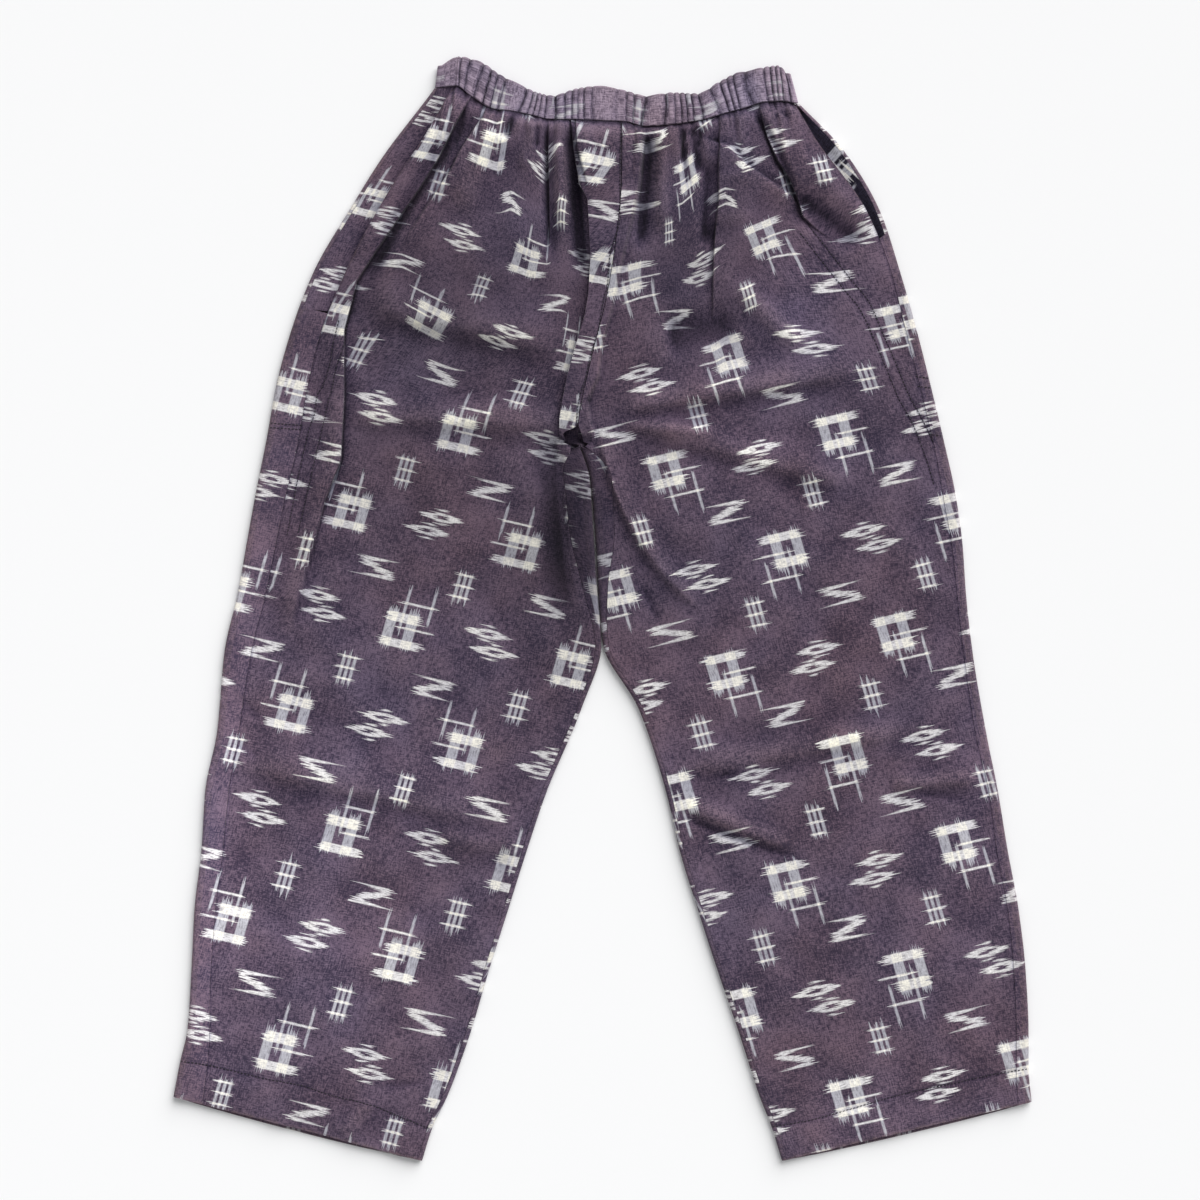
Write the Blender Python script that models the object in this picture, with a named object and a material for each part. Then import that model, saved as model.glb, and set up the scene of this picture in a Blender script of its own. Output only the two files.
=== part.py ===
"""Monpe work trousers in kasuri cotton, laid flat with the front up.

+X is the viewer's right, +Y runs up to the waist and +Z is off the surface.  The origin is under the
middle of the trousers on the surface they lie on.  Lengths in the tables are millimetres, everything
after them is metres.

Each leg is a flattened tube.  Its back panel lies on the surface, rolls up round the outer edge and
comes over to the side seam, and below the crotch it also rolls up round the inner edge to the inseam.
The front panel closes the tube from above.  Rows run across a leg along the weft, stations down it.
"""
import bpy
import numpy as np

for stale in list(bpy.data.objects):
    bpy.data.objects.remove(stale, do_unlink=True)

MM = 0.001
WALL = 1.2 * MM              # one thickness of cloth
FRONT_WALL = 1.8 * MM        # the front panel's wall, measured straight down
HEM_WALL = 2.0 * MM          # cloth turned up once at the hem
SEAM_GAP = 0.3 * MM          # between pieces that are sewn together
LAYER_GAP = 0.5 * MM         # least air between a front panel and the back panel under it
FOLD_TAPER = 12 * MM         # folds die out over this distance from a rolled edge
EDGE_SPREAD = 16 * MM        # how far a rolled edge lifts the cloth beside it
LEAST_FOLD_WIDTH = 6 * MM    # narrowest fold side that the rows and columns can carry
PLEAT_EDGE = 6 * MM          # run of the steep sides of the centre front pleat
PLEAT_END = 14 * MM          # the pleat drops away over this length below the crotch tip
LEAST_RISE = 3 * MM          # a rolled edge this high pushes the front panel's edge back
SEAM_REACH = 5 * MM          # a panel's top keeps under the waistband seam this far to each side
TUCK_UNDER = 14 * MM         # pocket side hidden under the slanted front edge
POCKET_SIDE_TOP = 4.3 * MM   # height of the pocket side's face where it is hidden
BACK_HEM_DROP = 3 * MM       # the back hem shows this far below the front hem
CROTCH = 5.0                 # station of the crotch point
CURL_RUN = 0.34              # stations over which the crotch edges roll up into inner leg edges
HEM_STITCH = 17.0            # station of the hem stitching
HEM = 18.0                   # station of the hem edge

# Leg stations from waist to hem: the outer edge, the inner edge (centre front above the crotch), the
# width of back panel that shows outside the side seam, the same inside the inseam, the radius of the
# inner roll, and the height at which the cloth settles between the edges.
LEG_COLUMNS = ("outer_x", "outer_y", "inner_x", "inner_y", "outer_strip", "inner_strip", "inner_roll", "settle")
LEFT_LEG = (
    (-140.8, 431.7,   15.8, 407.5, 16.0,  0.0, 3.2, 7.5),
    (-180.0, 383.3,   15.4, 358.3, 19.0,  0.0, 3.2, 7.5),
    (-211.7, 333.3,   10.8, 308.3, 23.0,  0.0, 3.2, 7.0),
    (-240.8, 283.3,    2.5, 258.3, 26.0,  0.0, 3.2, 6.5),
    (-260.0, 233.3,  -10.0, 208.3, 25.0,  0.0, 3.8, 6.0),
    (-272.5, 187.5,  -20.8, 150.0, 26.0,  0.0, 4.4, 6.0),
    (-280.8, 141.7,  -10.8, 110.0, 26.5, 22.0, 4.4, 5.5),
    (-290.0,  95.8,   -7.5,  62.5, 25.0, 20.0, 4.2, 5.0),
    (-297.5,  54.2,   -4.6,  16.7, 24.0, 12.0, 3.8, 4.8),
    (-305.0,  12.5,   -1.3, -29.2, 23.0,  5.0, 3.4, 4.6),
    (-315.8, -35.0,  -18.3, -83.3, 22.0,  3.6, 3.2, 4.5),
    (-321.7, -100.0, -47.0, -151.7, 18.0, 3.6, 3.2, 4.5),
    (-331.7, -150.0, -63.8, -201.7, 19.5, 3.6, 3.2, 4.5),
    (-335.0, -200.0, -79.6, -251.7, 18.0, 3.6, 3.2, 4.5),
    (-340.8, -250.0, -95.4, -301.7, 17.5, 3.6, 3.2, 4.5),
    (-343.3, -300.0, -110.4, -352.5, 16.5, 3.6, 3.2, 4.6),
    (-346.7, -350.0, -129.2, -404.2, 19.0, 3.6, 3.2, 4.8),
    (-352.5, -375.8, -142.5, -432.5, 23.0, 3.6, 3.2, 5.2),
    (-358.3, -405.8, -150.8, -459.2, 25.0, 3.6, 3.2, 5.4),
)
RIGHT_LEG = (
    (164.2, 421.7,   15.8, 407.5,  4.6,  0.0, 3.2, 7.5),
    (200.8, 383.3,   15.4, 358.3, 16.0,  0.0, 3.2, 7.5),
    (230.8, 333.3,   10.8, 308.3, 11.0,  0.0, 3.2, 7.0),
    (247.5, 283.3,    2.5, 258.3,  7.5,  0.0, 3.2, 6.5),
    (261.7, 233.3,  -10.0, 208.3,  9.0,  0.0, 3.8, 6.0),
    (273.3, 187.5,  -20.8, 150.0,  9.0,  0.0, 4.4, 6.0),
    (284.2, 141.7,  -10.8, 110.0,  9.0, 17.5, 4.4, 5.5),
    (294.2,  95.8,   -6.7,  62.5, 10.5, 16.0, 4.2, 5.0),
    (300.0,  54.2,   -4.2,  16.7,  9.0,  8.0, 3.8, 4.8),
    (302.9,  12.5,    0.0, -29.2,  7.5,  4.4, 3.4, 4.6),
    (308.3, -35.0,   30.0, -83.3,  7.5,  3.6, 3.2, 4.5),
    (319.2, -100.0,  52.5, -151.7, 9.0,  3.6, 3.2, 4.5),
    (329.2, -150.0,  64.2, -201.7, 7.5,  3.6, 3.2, 4.5),
    (337.5, -200.0,  79.6, -251.7, 9.0,  3.6, 3.2, 4.5),
    (346.7, -250.0,  95.8, -301.7, 9.0,  3.6, 3.2, 4.5),
    (352.5, -300.0, 113.3, -352.5, 10.0, 3.6, 3.2, 4.6),
    (355.0, -350.0, 130.0, -404.2, 10.5, 3.6, 3.2, 4.8),
    (355.0, -380.8, 140.4, -430.8, 10.5, 3.6, 3.2, 5.2),
    (357.5, -410.0, 149.2, -459.2, 11.5, 3.6, 3.2, 5.4),
)
OUTER_ROLL = 3.2 * MM
POCKET_RIM = 3.5 * MM        # the back panel's rolled rim beside a pocket opening
POCKET_START = {"left": 0.06, "right": 0.3}  # stations at which the pocket openings start at the band
POCKET_END = {"left": 3.6, "right": 2.4}     # stations at which the slanted pocket edges end

# The gathered waistband from the viewer's left to right: its seam with the trousers and its top edge.
BAND_COLUMNS = ("seam_x", "seam_y", "top_x", "top_y")
BAND = (
    (-140.0, 435.0, -137.5, 451.7),
    (-122.5, 436.7, -120.8, 460.8),
    (-110.0, 428.3, -102.5, 456.7),
    (-90.8, 417.5, -85.8, 445.8),
    (-75.8, 415.8, -69.2, 437.5),
    (-59.2, 412.5, -54.2, 430.8),
    (-44.2, 409.2, -41.7, 428.3),
    (-23.3, 408.8, -21.7, 434.2),
    (-2.5, 407.9, -2.5, 436.7),
    (18.3, 407.1, 17.5, 432.9),
    (35.0, 403.3, 35.8, 428.3),
    (60.0, 405.0, 58.3, 430.8),
    (80.8, 408.3, 78.3, 430.0),
    (102.5, 414.2, 95.8, 439.2),
    (117.5, 418.3, 112.5, 447.5),
    (134.2, 423.3, 128.3, 450.8),
    (149.2, 424.2, 145.0, 453.3),
    (162.5, 422.0, 155.0, 445.0),
)
BAND_WALL = 3.2 * MM         # cloth, elastic and cloth again
BAND_ROLL = 2.1 * MM         # radius of the band's middle layer where it turns over at a side
BAND_GATHERS = 34
GATHER_DEPTH = 1.1 * MM
BAND_SIDE_SEAM = 1.0         # the left side seam of the band, counted in rows of its table
BAND_OVERLAP = 9 * MM        # how far the rolled end of the front band reaches under the right side

# Folds.  Each runs from its start to its end with a bow to the left of that way, spreads over its
# left and right width, and stands up by its height, or sinks where the height is negative.
FOLD_COLUMNS = ("start_x", "start_y", "end_x", "end_y", "bow", "left", "right", "height")
FOLDS = {
    "left pocket roll": (-107.5, 420.0, -215.8, 266.7, 9.0, 13.0, 5.0, 8.0),
    "left pocket hollow": (-92.5, 415.0, -200.8, 256.7, 9.0, 4.0, 15.0, -4.5),
    "left small pleat": (-73.3, 415.0, -84.0, 392.0, 0.0, 3.0, 4.0, -2.0),
    "left small ridge": (-59.2, 408.3, -67.5, 366.0, 0.0, 5.0, 6.0, 2.0),
    "left gather hollow": (-46.0, 404.0, -41.7, 288.0, 0.0, 5.0, 6.0, -2.5),
    "left gather ridge": (-35.8, 388.0, -34.2, 320.0, 0.0, 6.0, 6.0, 2.5),
    "left centre hollow": (-25.5, 404.0, -15.8, 280.0, 0.0, 8.0, 4.0, -4.0),
    "right centre hollow": (38.0, 400.0, 30.0, 300.0, 0.0, 4.0, 7.0, -3.5),
    "right gather ridge": (48.5, 402.0, 49.2, 312.0, 0.0, 5.0, 6.0, 2.0),
    "right gather hollow": (72.5, 404.0, 81.0, 362.0, 0.0, 4.0, 5.0, -2.5),
    "right hip hollow": (90.8, 392.0, 85.8, 285.0, 0.0, 8.0, 4.0, -3.0),
    "right hip ridge": (104.0, 395.0, 118.3, 312.0, 0.0, 6.0, 14.0, 4.0),
    "right pocket hollow": (122.5, 414.0, 216.0, 290.0, 9.0, 9.0, 4.0, -6.0),
    "right pocket roll": (149.2, 417.0, 226.0, 302.0, 4.0, 7.0, 12.0, 7.0),
    "right hip dip": (52.0, 228.0, 112.0, 238.0, 0.0, 14.0, 14.0, -2.5),
    "right hip rise": (110.0, 270.0, 168.0, 217.0, 0.0, 10.0, 10.0, 2.5),
    "left upper drag": (-196.0, 255.0, -28.0, 216.0, 0.0, 11.0, 20.0, 3.5),
    "left lower drag": (-217.0, 163.0, -24.0, 154.0, 0.0, 10.0, 18.0, 3.0),
    "left inseam hollow": (-42.5, 152.0, -30.8, -10.0, 0.0, 14.0, 6.0, -2.5),
    "right upper drag": (16.0, 168.0, 214.0, 198.5, 0.0, 7.0, 16.0, 3.5),
    "right middle drag": (14.0, 155.0, 96.0, 146.5, 0.0, 6.0, 5.0, 2.0),
    "right lower drag": (28.0, 152.5, 208.0, 103.5, 0.0, 8.0, 14.0, 2.5),
    "right crotch ridge": (-2.5, 148.0, 82.0, 0.0, 16.0, 5.0, 16.0, 4.0),
    "left pocket bag": (-214.0, 250.0, -265.0, -25.0, -11.0, 14.0, 5.0, 1.6),
    "left knee ridge": (-308.0, -126.0, -60.0, -182.0, 0.0, 9.0, 24.0, 2.5),
    "left calf ridge": (-138.0, -188.0, -64.0, -200.0, 0.0, 8.0, 12.0, 1.8),
    "right knee ridge": (67.0, -135.0, 270.0, -98.0, 0.0, 6.0, 14.0, 1.8),
    "right outer ridge": (241.0, -147.0, 314.0, -140.0, 0.0, 6.0, 9.0, 2.2),
    "right calf ridge": (69.0, -163.0, 162.0, -202.0, 0.0, 6.0, 10.0, 2.4),
    "left hem crease": (-194.0, -408.0, -217.0, -439.0, 0.0, 5.0, 7.0, 1.5),
}
# The pressed-up pleat of cloth along the centre front seam: its left and right edge and its rise.
PLEAT_COLUMNS = ("y", "left", "right", "rise")
PLEAT = (
    (407.5, -24.2, 31.7, 5.0),
    (386.7, -22.5, 31.3, 8.0),
    (354.2, -17.5, 28.3, 8.5),
    (341.7, -10.8, 25.8, 8.5),
    (315.8, -9.2, 20.0, 8.0),
    (291.7, -8.3, 14.2, 8.0),
    (261.7, -10.0, 7.5, 8.0),
    (243.3, -13.3, 3.3, 8.0),
    (213.3, -22.5, -4.2, 8.0),
    (180.0, -29.2, -10.8, 7.5),
    (150.0, -34.2, -7.5, 5.5),
)

CLOTH_COLOUR = (0.105, 0.077, 0.112, 1.0)
FADED_COLOUR = (0.135, 0.104, 0.130, 1.0)
UNWORN_COLOUR = (0.022, 0.019, 0.034, 1.0)
BAND_COLOUR = (0.205, 0.170, 0.210, 1.0)


def table(columns, rows):
    """Give the rows' columns by name, in metres."""
    values = np.array(rows, dtype=float).T * MM
    return dict(zip(columns, values))


LEGS = {"left": table(LEG_COLUMNS, LEFT_LEG), "right": table(LEG_COLUMNS, RIGHT_LEG)}
BAND_LINE = table(BAND_COLUMNS, BAND)
PLEAT_LINE = table(PLEAT_COLUMNS, PLEAT)
FOLD_LINE = table(FOLD_COLUMNS, tuple(FOLDS.values()))


def smoothstep(x):
    """3x^2 - 2x^3 between 0 and 1, flat outside."""
    x = np.clip(x, 0.0, 1.0)
    return x * x * (3.0 - 2.0 * x)


def through(values, at):
    """Cubic curve through values at 0, 1, 2 ... that never overshoots them, read at the places asked for."""
    values = np.asarray(values, dtype=float)
    step = np.diff(values)
    slope = np.zeros_like(values)
    same_way = step[:-1] * step[1:] > 0
    both = np.where(same_way, step[:-1] + step[1:], 1.0)
    slope[1:-1] = np.where(same_way, 2.0 * step[:-1] * step[1:] / both, 0.0)
    slope[0] = step[0]
    slope[-1] = step[-1]
    at = np.clip(at, 0.0, len(values) - 1.0)
    low = np.minimum(at.astype(int), len(values) - 2)
    f = at - low
    a = values[low]
    b = values[low + 1]
    rise = f * f * (3.0 - 2.0 * f)
    ease_in = f * (1.0 - f) ** 2
    ease_out = f * f * (f - 1.0)
    return a + (b - a) * rise + slope[low] * ease_in + slope[low + 1] * ease_out


def leg_at(side, t):
    """Every column of a leg's table at stations t."""
    return {name: through(values, t) for name, values in LEGS[side].items()}


def fold_heights(x, y):
    """Sum of the folds: height * exp(-(q/width)^2) * taper, q the distance to the bowed line."""
    total = np.zeros_like(x)
    rows = zip(*(FOLD_LINE[name] for name in FOLD_COLUMNS))
    for start_x, start_y, end_x, end_y, bow, left, right, height in rows:
        length = np.hypot(end_x - start_x, end_y - start_y)
        along_x = (end_x - start_x) / length
        along_y = (end_y - start_y) / length
        run = ((x - start_x) * along_x + (y - start_y) * along_y) / length
        inside = np.clip(run, 0.0, 1.0)
        q = (x - start_x) * along_y - (y - start_y) * along_x - 4.0 * bow * inside * (1.0 - inside)
        width = np.where(q > 0, max(left, LEAST_FOLD_WIDTH), max(right, LEAST_FOLD_WIDTH))
        taper = smoothstep((run + 0.06) / 0.22) * smoothstep((1.06 - run) / 0.30)
        total += height * np.exp(-(q / width) ** 2) * taper
    return total


def pleat_height(x, y):
    """Rise of the centre front pleat: full between its two edges, gone PLEAT_EDGE outside them."""
    down = PLEAT_LINE["y"][::-1]
    left = np.interp(y, down, PLEAT_LINE["left"][::-1])
    right = np.interp(y, down, PLEAT_LINE["right"][::-1])
    rise = np.interp(y, down, PLEAT_LINE["rise"][::-1])
    outside = np.maximum(left - x, x - right)
    fades = smoothstep((y - PLEAT_LINE["y"][-1]) / PLEAT_END + 1.0)
    return rise * smoothstep(1.0 - outside / PLEAT_EDGE) * fades


def under_seam(x):
    """Where a panel's top edge lies: SEAM_GAP under the waistband seam, clear of it on both sides."""
    place = through_line(BAND_LINE["seam_x"], BAND_LINE["seam_y"])
    near = [np.interp(x + reach * SEAM_REACH, *place) for reach in (-1.0, -0.5, 0.0, 0.5, 1.0)]
    return np.min(near, axis=0) - SEAM_GAP


def through_line(xs, ys):
    """The smooth curve through the points (xs, ys), as many close points on it."""
    at = np.linspace(0.0, len(xs) - 1.0, 12 * len(xs))
    return through(xs, at), through(ys, at)


def on_row(leg, side, t, from_outer):
    """Plan point on the row at station t, from_outer metres in from the outer edge."""
    across_x = leg["inner_x"] - leg["outer_x"]
    across_y = leg["inner_y"] - leg["outer_y"]
    length = np.hypot(across_x, across_y)
    x = leg["outer_x"] + across_x / length * from_outer
    y = leg["outer_y"] + across_y / length * from_outer
    top = LEGS[side]
    share = from_outer / length
    top_x = top["outer_x"][0] + (top["inner_x"][0] - top["outer_x"][0]) * share
    top_y = top["outer_y"][0] + (top["inner_y"][0] - top["outer_y"][0]) * share
    lift = under_seam(top_x) - top_y
    y = y + lift * np.clip(1.0 - t, 0.0, 1.0) ** 2
    return x, y, length


def crotch_curl(t):
    """How far the inner edge has rolled up: 0 above the crotch, 1 below it."""
    return smoothstep((t - CROTCH) / CURL_RUN)


def cloth_height(leg, side, t, from_outer):
    """Face height of the upper layer: settled cloth, raised at rolled edges, plus folds and the pleat."""
    x, y, length = on_row(leg, side, t, from_outer)
    from_inner = length - from_outer
    outer_lift = (2 * OUTER_ROLL - leg["settle"]) * np.exp(-((from_outer / EDGE_SPREAD) ** 2))
    inner_rise = 2 * leg["inner_roll"] - leg["settle"]
    inner_lift = inner_rise * np.exp(-((from_inner / EDGE_SPREAD) ** 2)) * crotch_curl(t)
    outer_taper = smoothstep((from_outer - OUTER_ROLL) / FOLD_TAPER)
    inner_taper = smoothstep((from_inner - leg["inner_roll"]) / FOLD_TAPER)
    inner_taper = 1.0 + (inner_taper - 1.0) * crotch_curl(t)
    at_band = 0.45 + 0.55 * smoothstep(t / 0.4)
    folds = (fold_heights(x, y) + pleat_height(x, y)) * outer_taper * inner_taper * at_band
    least = hem_wall(t) + LAYER_GAP + np.maximum(FRONT_WALL, hem_wall(t))
    return np.maximum(leg["settle"] + outer_lift + inner_lift + folds, least)


def hem_wall(t):
    """Wall of a panel: one cloth, and HEM_WALL where the hem is turned up."""
    return WALL + (HEM_WALL - WALL) * smoothstep((t - HEM_STITCH + 0.15) / 0.3)


def close_sheet(name, face, under, material):
    """Join a face grid and the grid under it round their rims into one closed solid."""
    rows, columns = face.shape[:2]
    count = rows * columns
    points = np.concatenate([face.reshape(-1, 3), under.reshape(-1, 3)])
    index = np.arange(count).reshape(rows, columns)
    quads = np.stack([index[:-1, :-1], index[1:, :-1], index[1:, 1:], index[:-1, 1:]], axis=-1).reshape(-1, 4)
    rim = np.concatenate([index[:-1, 0], index[-1, :-1], index[:0:-1, -1], index[0, :0:-1]])
    after = np.roll(rim, -1)
    walls = np.stack([after, rim, rim + count, after + count], axis=-1)
    faces = np.concatenate([quads, quads[:, ::-1] + count, walls])
    mesh = bpy.data.meshes.new(name)
    mesh.from_pydata(points.tolist(), [], faces.tolist())
    mesh.validate()
    body = bpy.data.objects.new(name, mesh)
    bpy.context.collection.objects.link(body)
    turn_outward(mesh)
    mesh.materials.append(material)
    mesh.shade_smooth()
    mesh.set_sharp_from_angle(angle=np.radians(50.0))
    return body


def turn_outward(mesh):
    """Flip every face when the signed volume of the closed mesh is negative."""
    mesh.calc_loop_triangles()
    corners = np.array([[mesh.vertices[i].co[:] for i in tri.vertices] for tri in mesh.loop_triangles])
    volume = np.einsum("ij,ij->i", corners[:, 0], np.cross(corners[:, 1], corners[:, 2])).sum()
    if volume < 0:
        mesh.flip_normals()


def cloth(name, colour, roughness):
    """A plain cloth finish."""
    material = bpy.data.materials.new(name)
    material.use_nodes = True
    shader = material.node_tree.nodes["Principled BSDF"]
    shader.inputs["Base Color"].default_value = colour
    shader.inputs["Roughness"].default_value = roughness
    shader.inputs["Metallic"].default_value = 0.0
    return material


def stations():
    """Stations of the rows: close in the hips, where the folds are, and wider down the legs."""
    hips = np.linspace(0.0, CROTCH, 14)
    crotch = CROTCH + CURL_RUN * np.array([0.36, 0.62, 1.0])
    thighs = np.linspace(CROTCH + 0.7, 9.0, 6)
    legs = np.linspace(9.8, HEM_STITCH - 0.2, 8)
    hem = np.array([HEM_STITCH + 0.15, HEM])
    return np.concatenate([hips, crotch, thighs, legs, hem])


def front_panel(side, material):
    """Front leg panel from the side seam to the centre front, and to the inseam below the crotch."""
    t = stations()[:, None]
    leg = leg_at(side, t)
    length = on_row(leg, side, t, 0.0)[2]
    outer = leg["outer_strip"] + SEAM_GAP
    inner = np.array([[front_limit(side, row)] for row in t[:, 0]])
    share = np.array([0.0, 0.025, 0.06, 0.10, 0.14, 0.18, 0.23, 0.28, 0.34, 0.40, 0.46, 0.52,
                      0.58, 0.64, 0.70, 0.755, 0.81, 0.86, 0.90, 0.93, 0.965, 1.0])[None, :]
    from_outer = outer + (inner - outer) * share
    x, y, _ = on_row(leg, side, t, from_outer)
    z = cloth_height(leg, side, t, from_outer)
    face = np.stack([x, y, z], axis=-1)
    under = face.copy()
    under[..., 2] -= np.maximum(FRONT_WALL, hem_wall(t))
    return close_sheet(f"front_panel_{side}", face, under, material)


def roll_profile(radius, wall, turned, strip, points):
    """An edge that rolls up and back over itself, as distances out from where it starts to bend.

    The path bends evenly through the angle turned over a half circle of the radius, then runs on
    straight for strip.  Gives face and inner side, each as (out, up) arrays of the given points.
    """
    bend = np.pi * radius
    s = np.concatenate([np.linspace(0.0, bend, points - 2), [bend + 0.5 * strip, bend + strip]])
    angle = turned * np.clip(s / bend, 0.0, 1.0)
    steps = np.diff(s)
    middle = 0.5 * (angle[1:] + angle[:-1])
    out = np.concatenate([[0.0], np.cumsum(steps * np.cos(middle))])
    up = np.concatenate([[0.0], np.cumsum(steps * np.sin(middle))])
    inner_out = out - wall * np.sin(angle)
    inner_up = up + wall * np.cos(angle)
    return (out, up), (inner_out, inner_up)


def inner_profile(side, t):
    """The back panel's inner edge at station t, (at, up) of its face and inner side from the outer edge.

    Flat to the centre back above the crotch, rolled up and over as far as the inseam below it.
    """
    row = np.array([t])
    leg = {name: value[0] for name, value in leg_at(side, row).items()}
    length = float(on_row(leg, side, t, 0.0)[2])
    curl = float(crotch_curl(row)[0])
    strip = max(leg["inner_strip"] - leg["inner_roll"], 0.4 * MM)
    face, inside = roll_profile(leg["inner_roll"], hem_wall(row)[0], np.pi * curl, strip, 7)
    bend_at = length - SEAM_GAP - max(face[0].max(), inside[0].max())
    return leg, length, (bend_at + face[0], face[1]), (bend_at + inside[0], inside[1])


def front_limit(side, t):
    """How far in from the outer edge the front panel reaches: to the rolled edge of the back panel."""
    leg, length, (at, up), (inside_at, inside_up) = inner_profile(side, t)
    risen = np.concatenate([at[up > LEAST_RISE], inside_at[inside_up > LEAST_RISE], [length]])
    return risen.min() - SEAM_GAP


def back_panel(side, material):
    """Back leg panel: flat underneath, rolled up at the outer edge and at the inner leg edge."""
    arc_points = 5
    flat_points = 11
    face_rows = []
    under_rows = []
    for t in stations():
        wall = hem_wall(np.array([t]))[0]
        leg, length, (roll_at, roll_up), (roll_in_at, roll_in_up) = inner_profile(side, t)
        has_pocket = t < POCKET_END[side]
        strip = POCKET_RIM if has_pocket else leg["outer_strip"]
        strip_at = np.linspace(strip, OUTER_ROLL, 3)[:-1]
        strip_up = cloth_height(leg, side, t, strip_at)
        angle = np.linspace(0.0, np.pi, arc_points)
        arc_at = OUTER_ROLL * (1.0 - np.sin(angle))
        arc_up = OUTER_ROLL * (1.0 + np.cos(angle))
        arc_in_at = OUTER_ROLL - (OUTER_ROLL - wall) * np.sin(angle)
        arc_in_up = OUTER_ROLL + (OUTER_ROLL - wall) * np.cos(angle)
        flat_at = np.linspace(OUTER_ROLL, roll_at[0], flat_points + 2)[1:-1]
        level = np.zeros(flat_points)
        settled = cloth_height(leg, side, t, roll_at) - 2 * leg["inner_roll"]
        over = np.clip(roll_up / leg["inner_roll"] - 1.0, 0.0, 1.0)
        lift = settled * over * crotch_curl(t)
        at = np.concatenate([strip_at, arc_at, flat_at, roll_at])
        height = np.concatenate([strip_up, arc_up, level, roll_up + lift])
        in_at = np.concatenate([strip_at, arc_in_at, flat_at, roll_in_at])
        in_height = np.concatenate([strip_up - wall, arc_in_up, level + wall, roll_in_up + lift])
        drop = BACK_HEM_DROP * smoothstep((t - HEM_STITCH) / (HEM - HEM_STITCH))
        drop_share = np.sin(np.pi * np.clip(at / length, 0.0, 1.0)) ** 0.5
        lower = drop * drop_share * (height < OUTER_ROLL)
        x, y, _ = on_row(leg, side, t, at)
        in_x, in_y, _ = on_row(leg, side, t, in_at)
        face_rows.append(np.stack([x, y - lower, height], axis=-1))
        under_rows.append(np.stack([in_x, in_y - lower, in_height], axis=-1))
    return close_sheet(f"back_panel_{side}", np.array(face_rows), np.array(under_rows), material)


def pocket_side(side, material):
    """Side piece behind the slanted pocket edge: from the rolled outer edge to under the front panel."""
    end = POCKET_END[side]
    rows = [t for t in stations() if t < end - 0.05]
    rows[0] = POCKET_START[side]
    t = np.array(rows)[:, None]
    leg = leg_at(side, t)
    outer = POCKET_RIM + SEAM_GAP
    inner = leg["outer_strip"] + TUCK_UNDER
    share = np.array([0.0, 0.22, 0.45, 0.7, 1.0])[None, :]
    from_outer = outer + (inner - outer) * share
    x, y, _ = on_row(leg, side, t, from_outer)
    reach = np.clip((from_outer - outer) / np.maximum(leg["outer_strip"] - outer, 1 * MM), 0.0, 1.0)
    z = 2 * OUTER_ROLL + (POCKET_SIDE_TOP - 2 * OUTER_ROLL) * smoothstep(reach * 1.15)
    face = np.stack([x, y, z + 0 * x], axis=-1)
    under = face.copy()
    under[..., 2] -= WALL
    return close_sheet(f"pocket_side_{side}", face, under, material)


def band_path(layer):
    """Rows of the band table, roll angle and layer height along one half of the waistband.

    The front band runs from the left side seam to the right and rolls down round the right side.
    The back band starts under it, runs to the left, rolls up and comes over to the side seam.
    """
    last = len(BAND) - 1.0
    turn = np.linspace(0.0, np.pi, 6)
    if layer == "front":
        along = np.linspace(BAND_SIDE_SEAM + 0.02, last - 0.25, BAND_GATHERS * 3 + 1)
        rest = np.array([last - 0.7])
        place = np.concatenate([along, np.full(len(turn) - 1, last - 0.25), rest])
        roll = np.concatenate([np.zeros(len(along)), turn[1:], [np.pi]])
        end = np.concatenate([np.zeros(len(along)), np.ones(len(turn) - 1), [0.0]])
    else:
        along = np.linspace(last - 0.76, 0.2, 36)
        over = np.array([0.6, BAND_SIDE_SEAM - 0.02])
        place = np.concatenate([along, np.full(len(turn) - 1, 0.2), over])
        roll = np.concatenate([np.full(len(along), np.pi), turn[::-1][1:], np.zeros(2)])
        end = np.concatenate([np.zeros(len(along)), -np.ones(len(turn) - 1), [0.0, 0.0]])
    return place, roll, end


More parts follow.
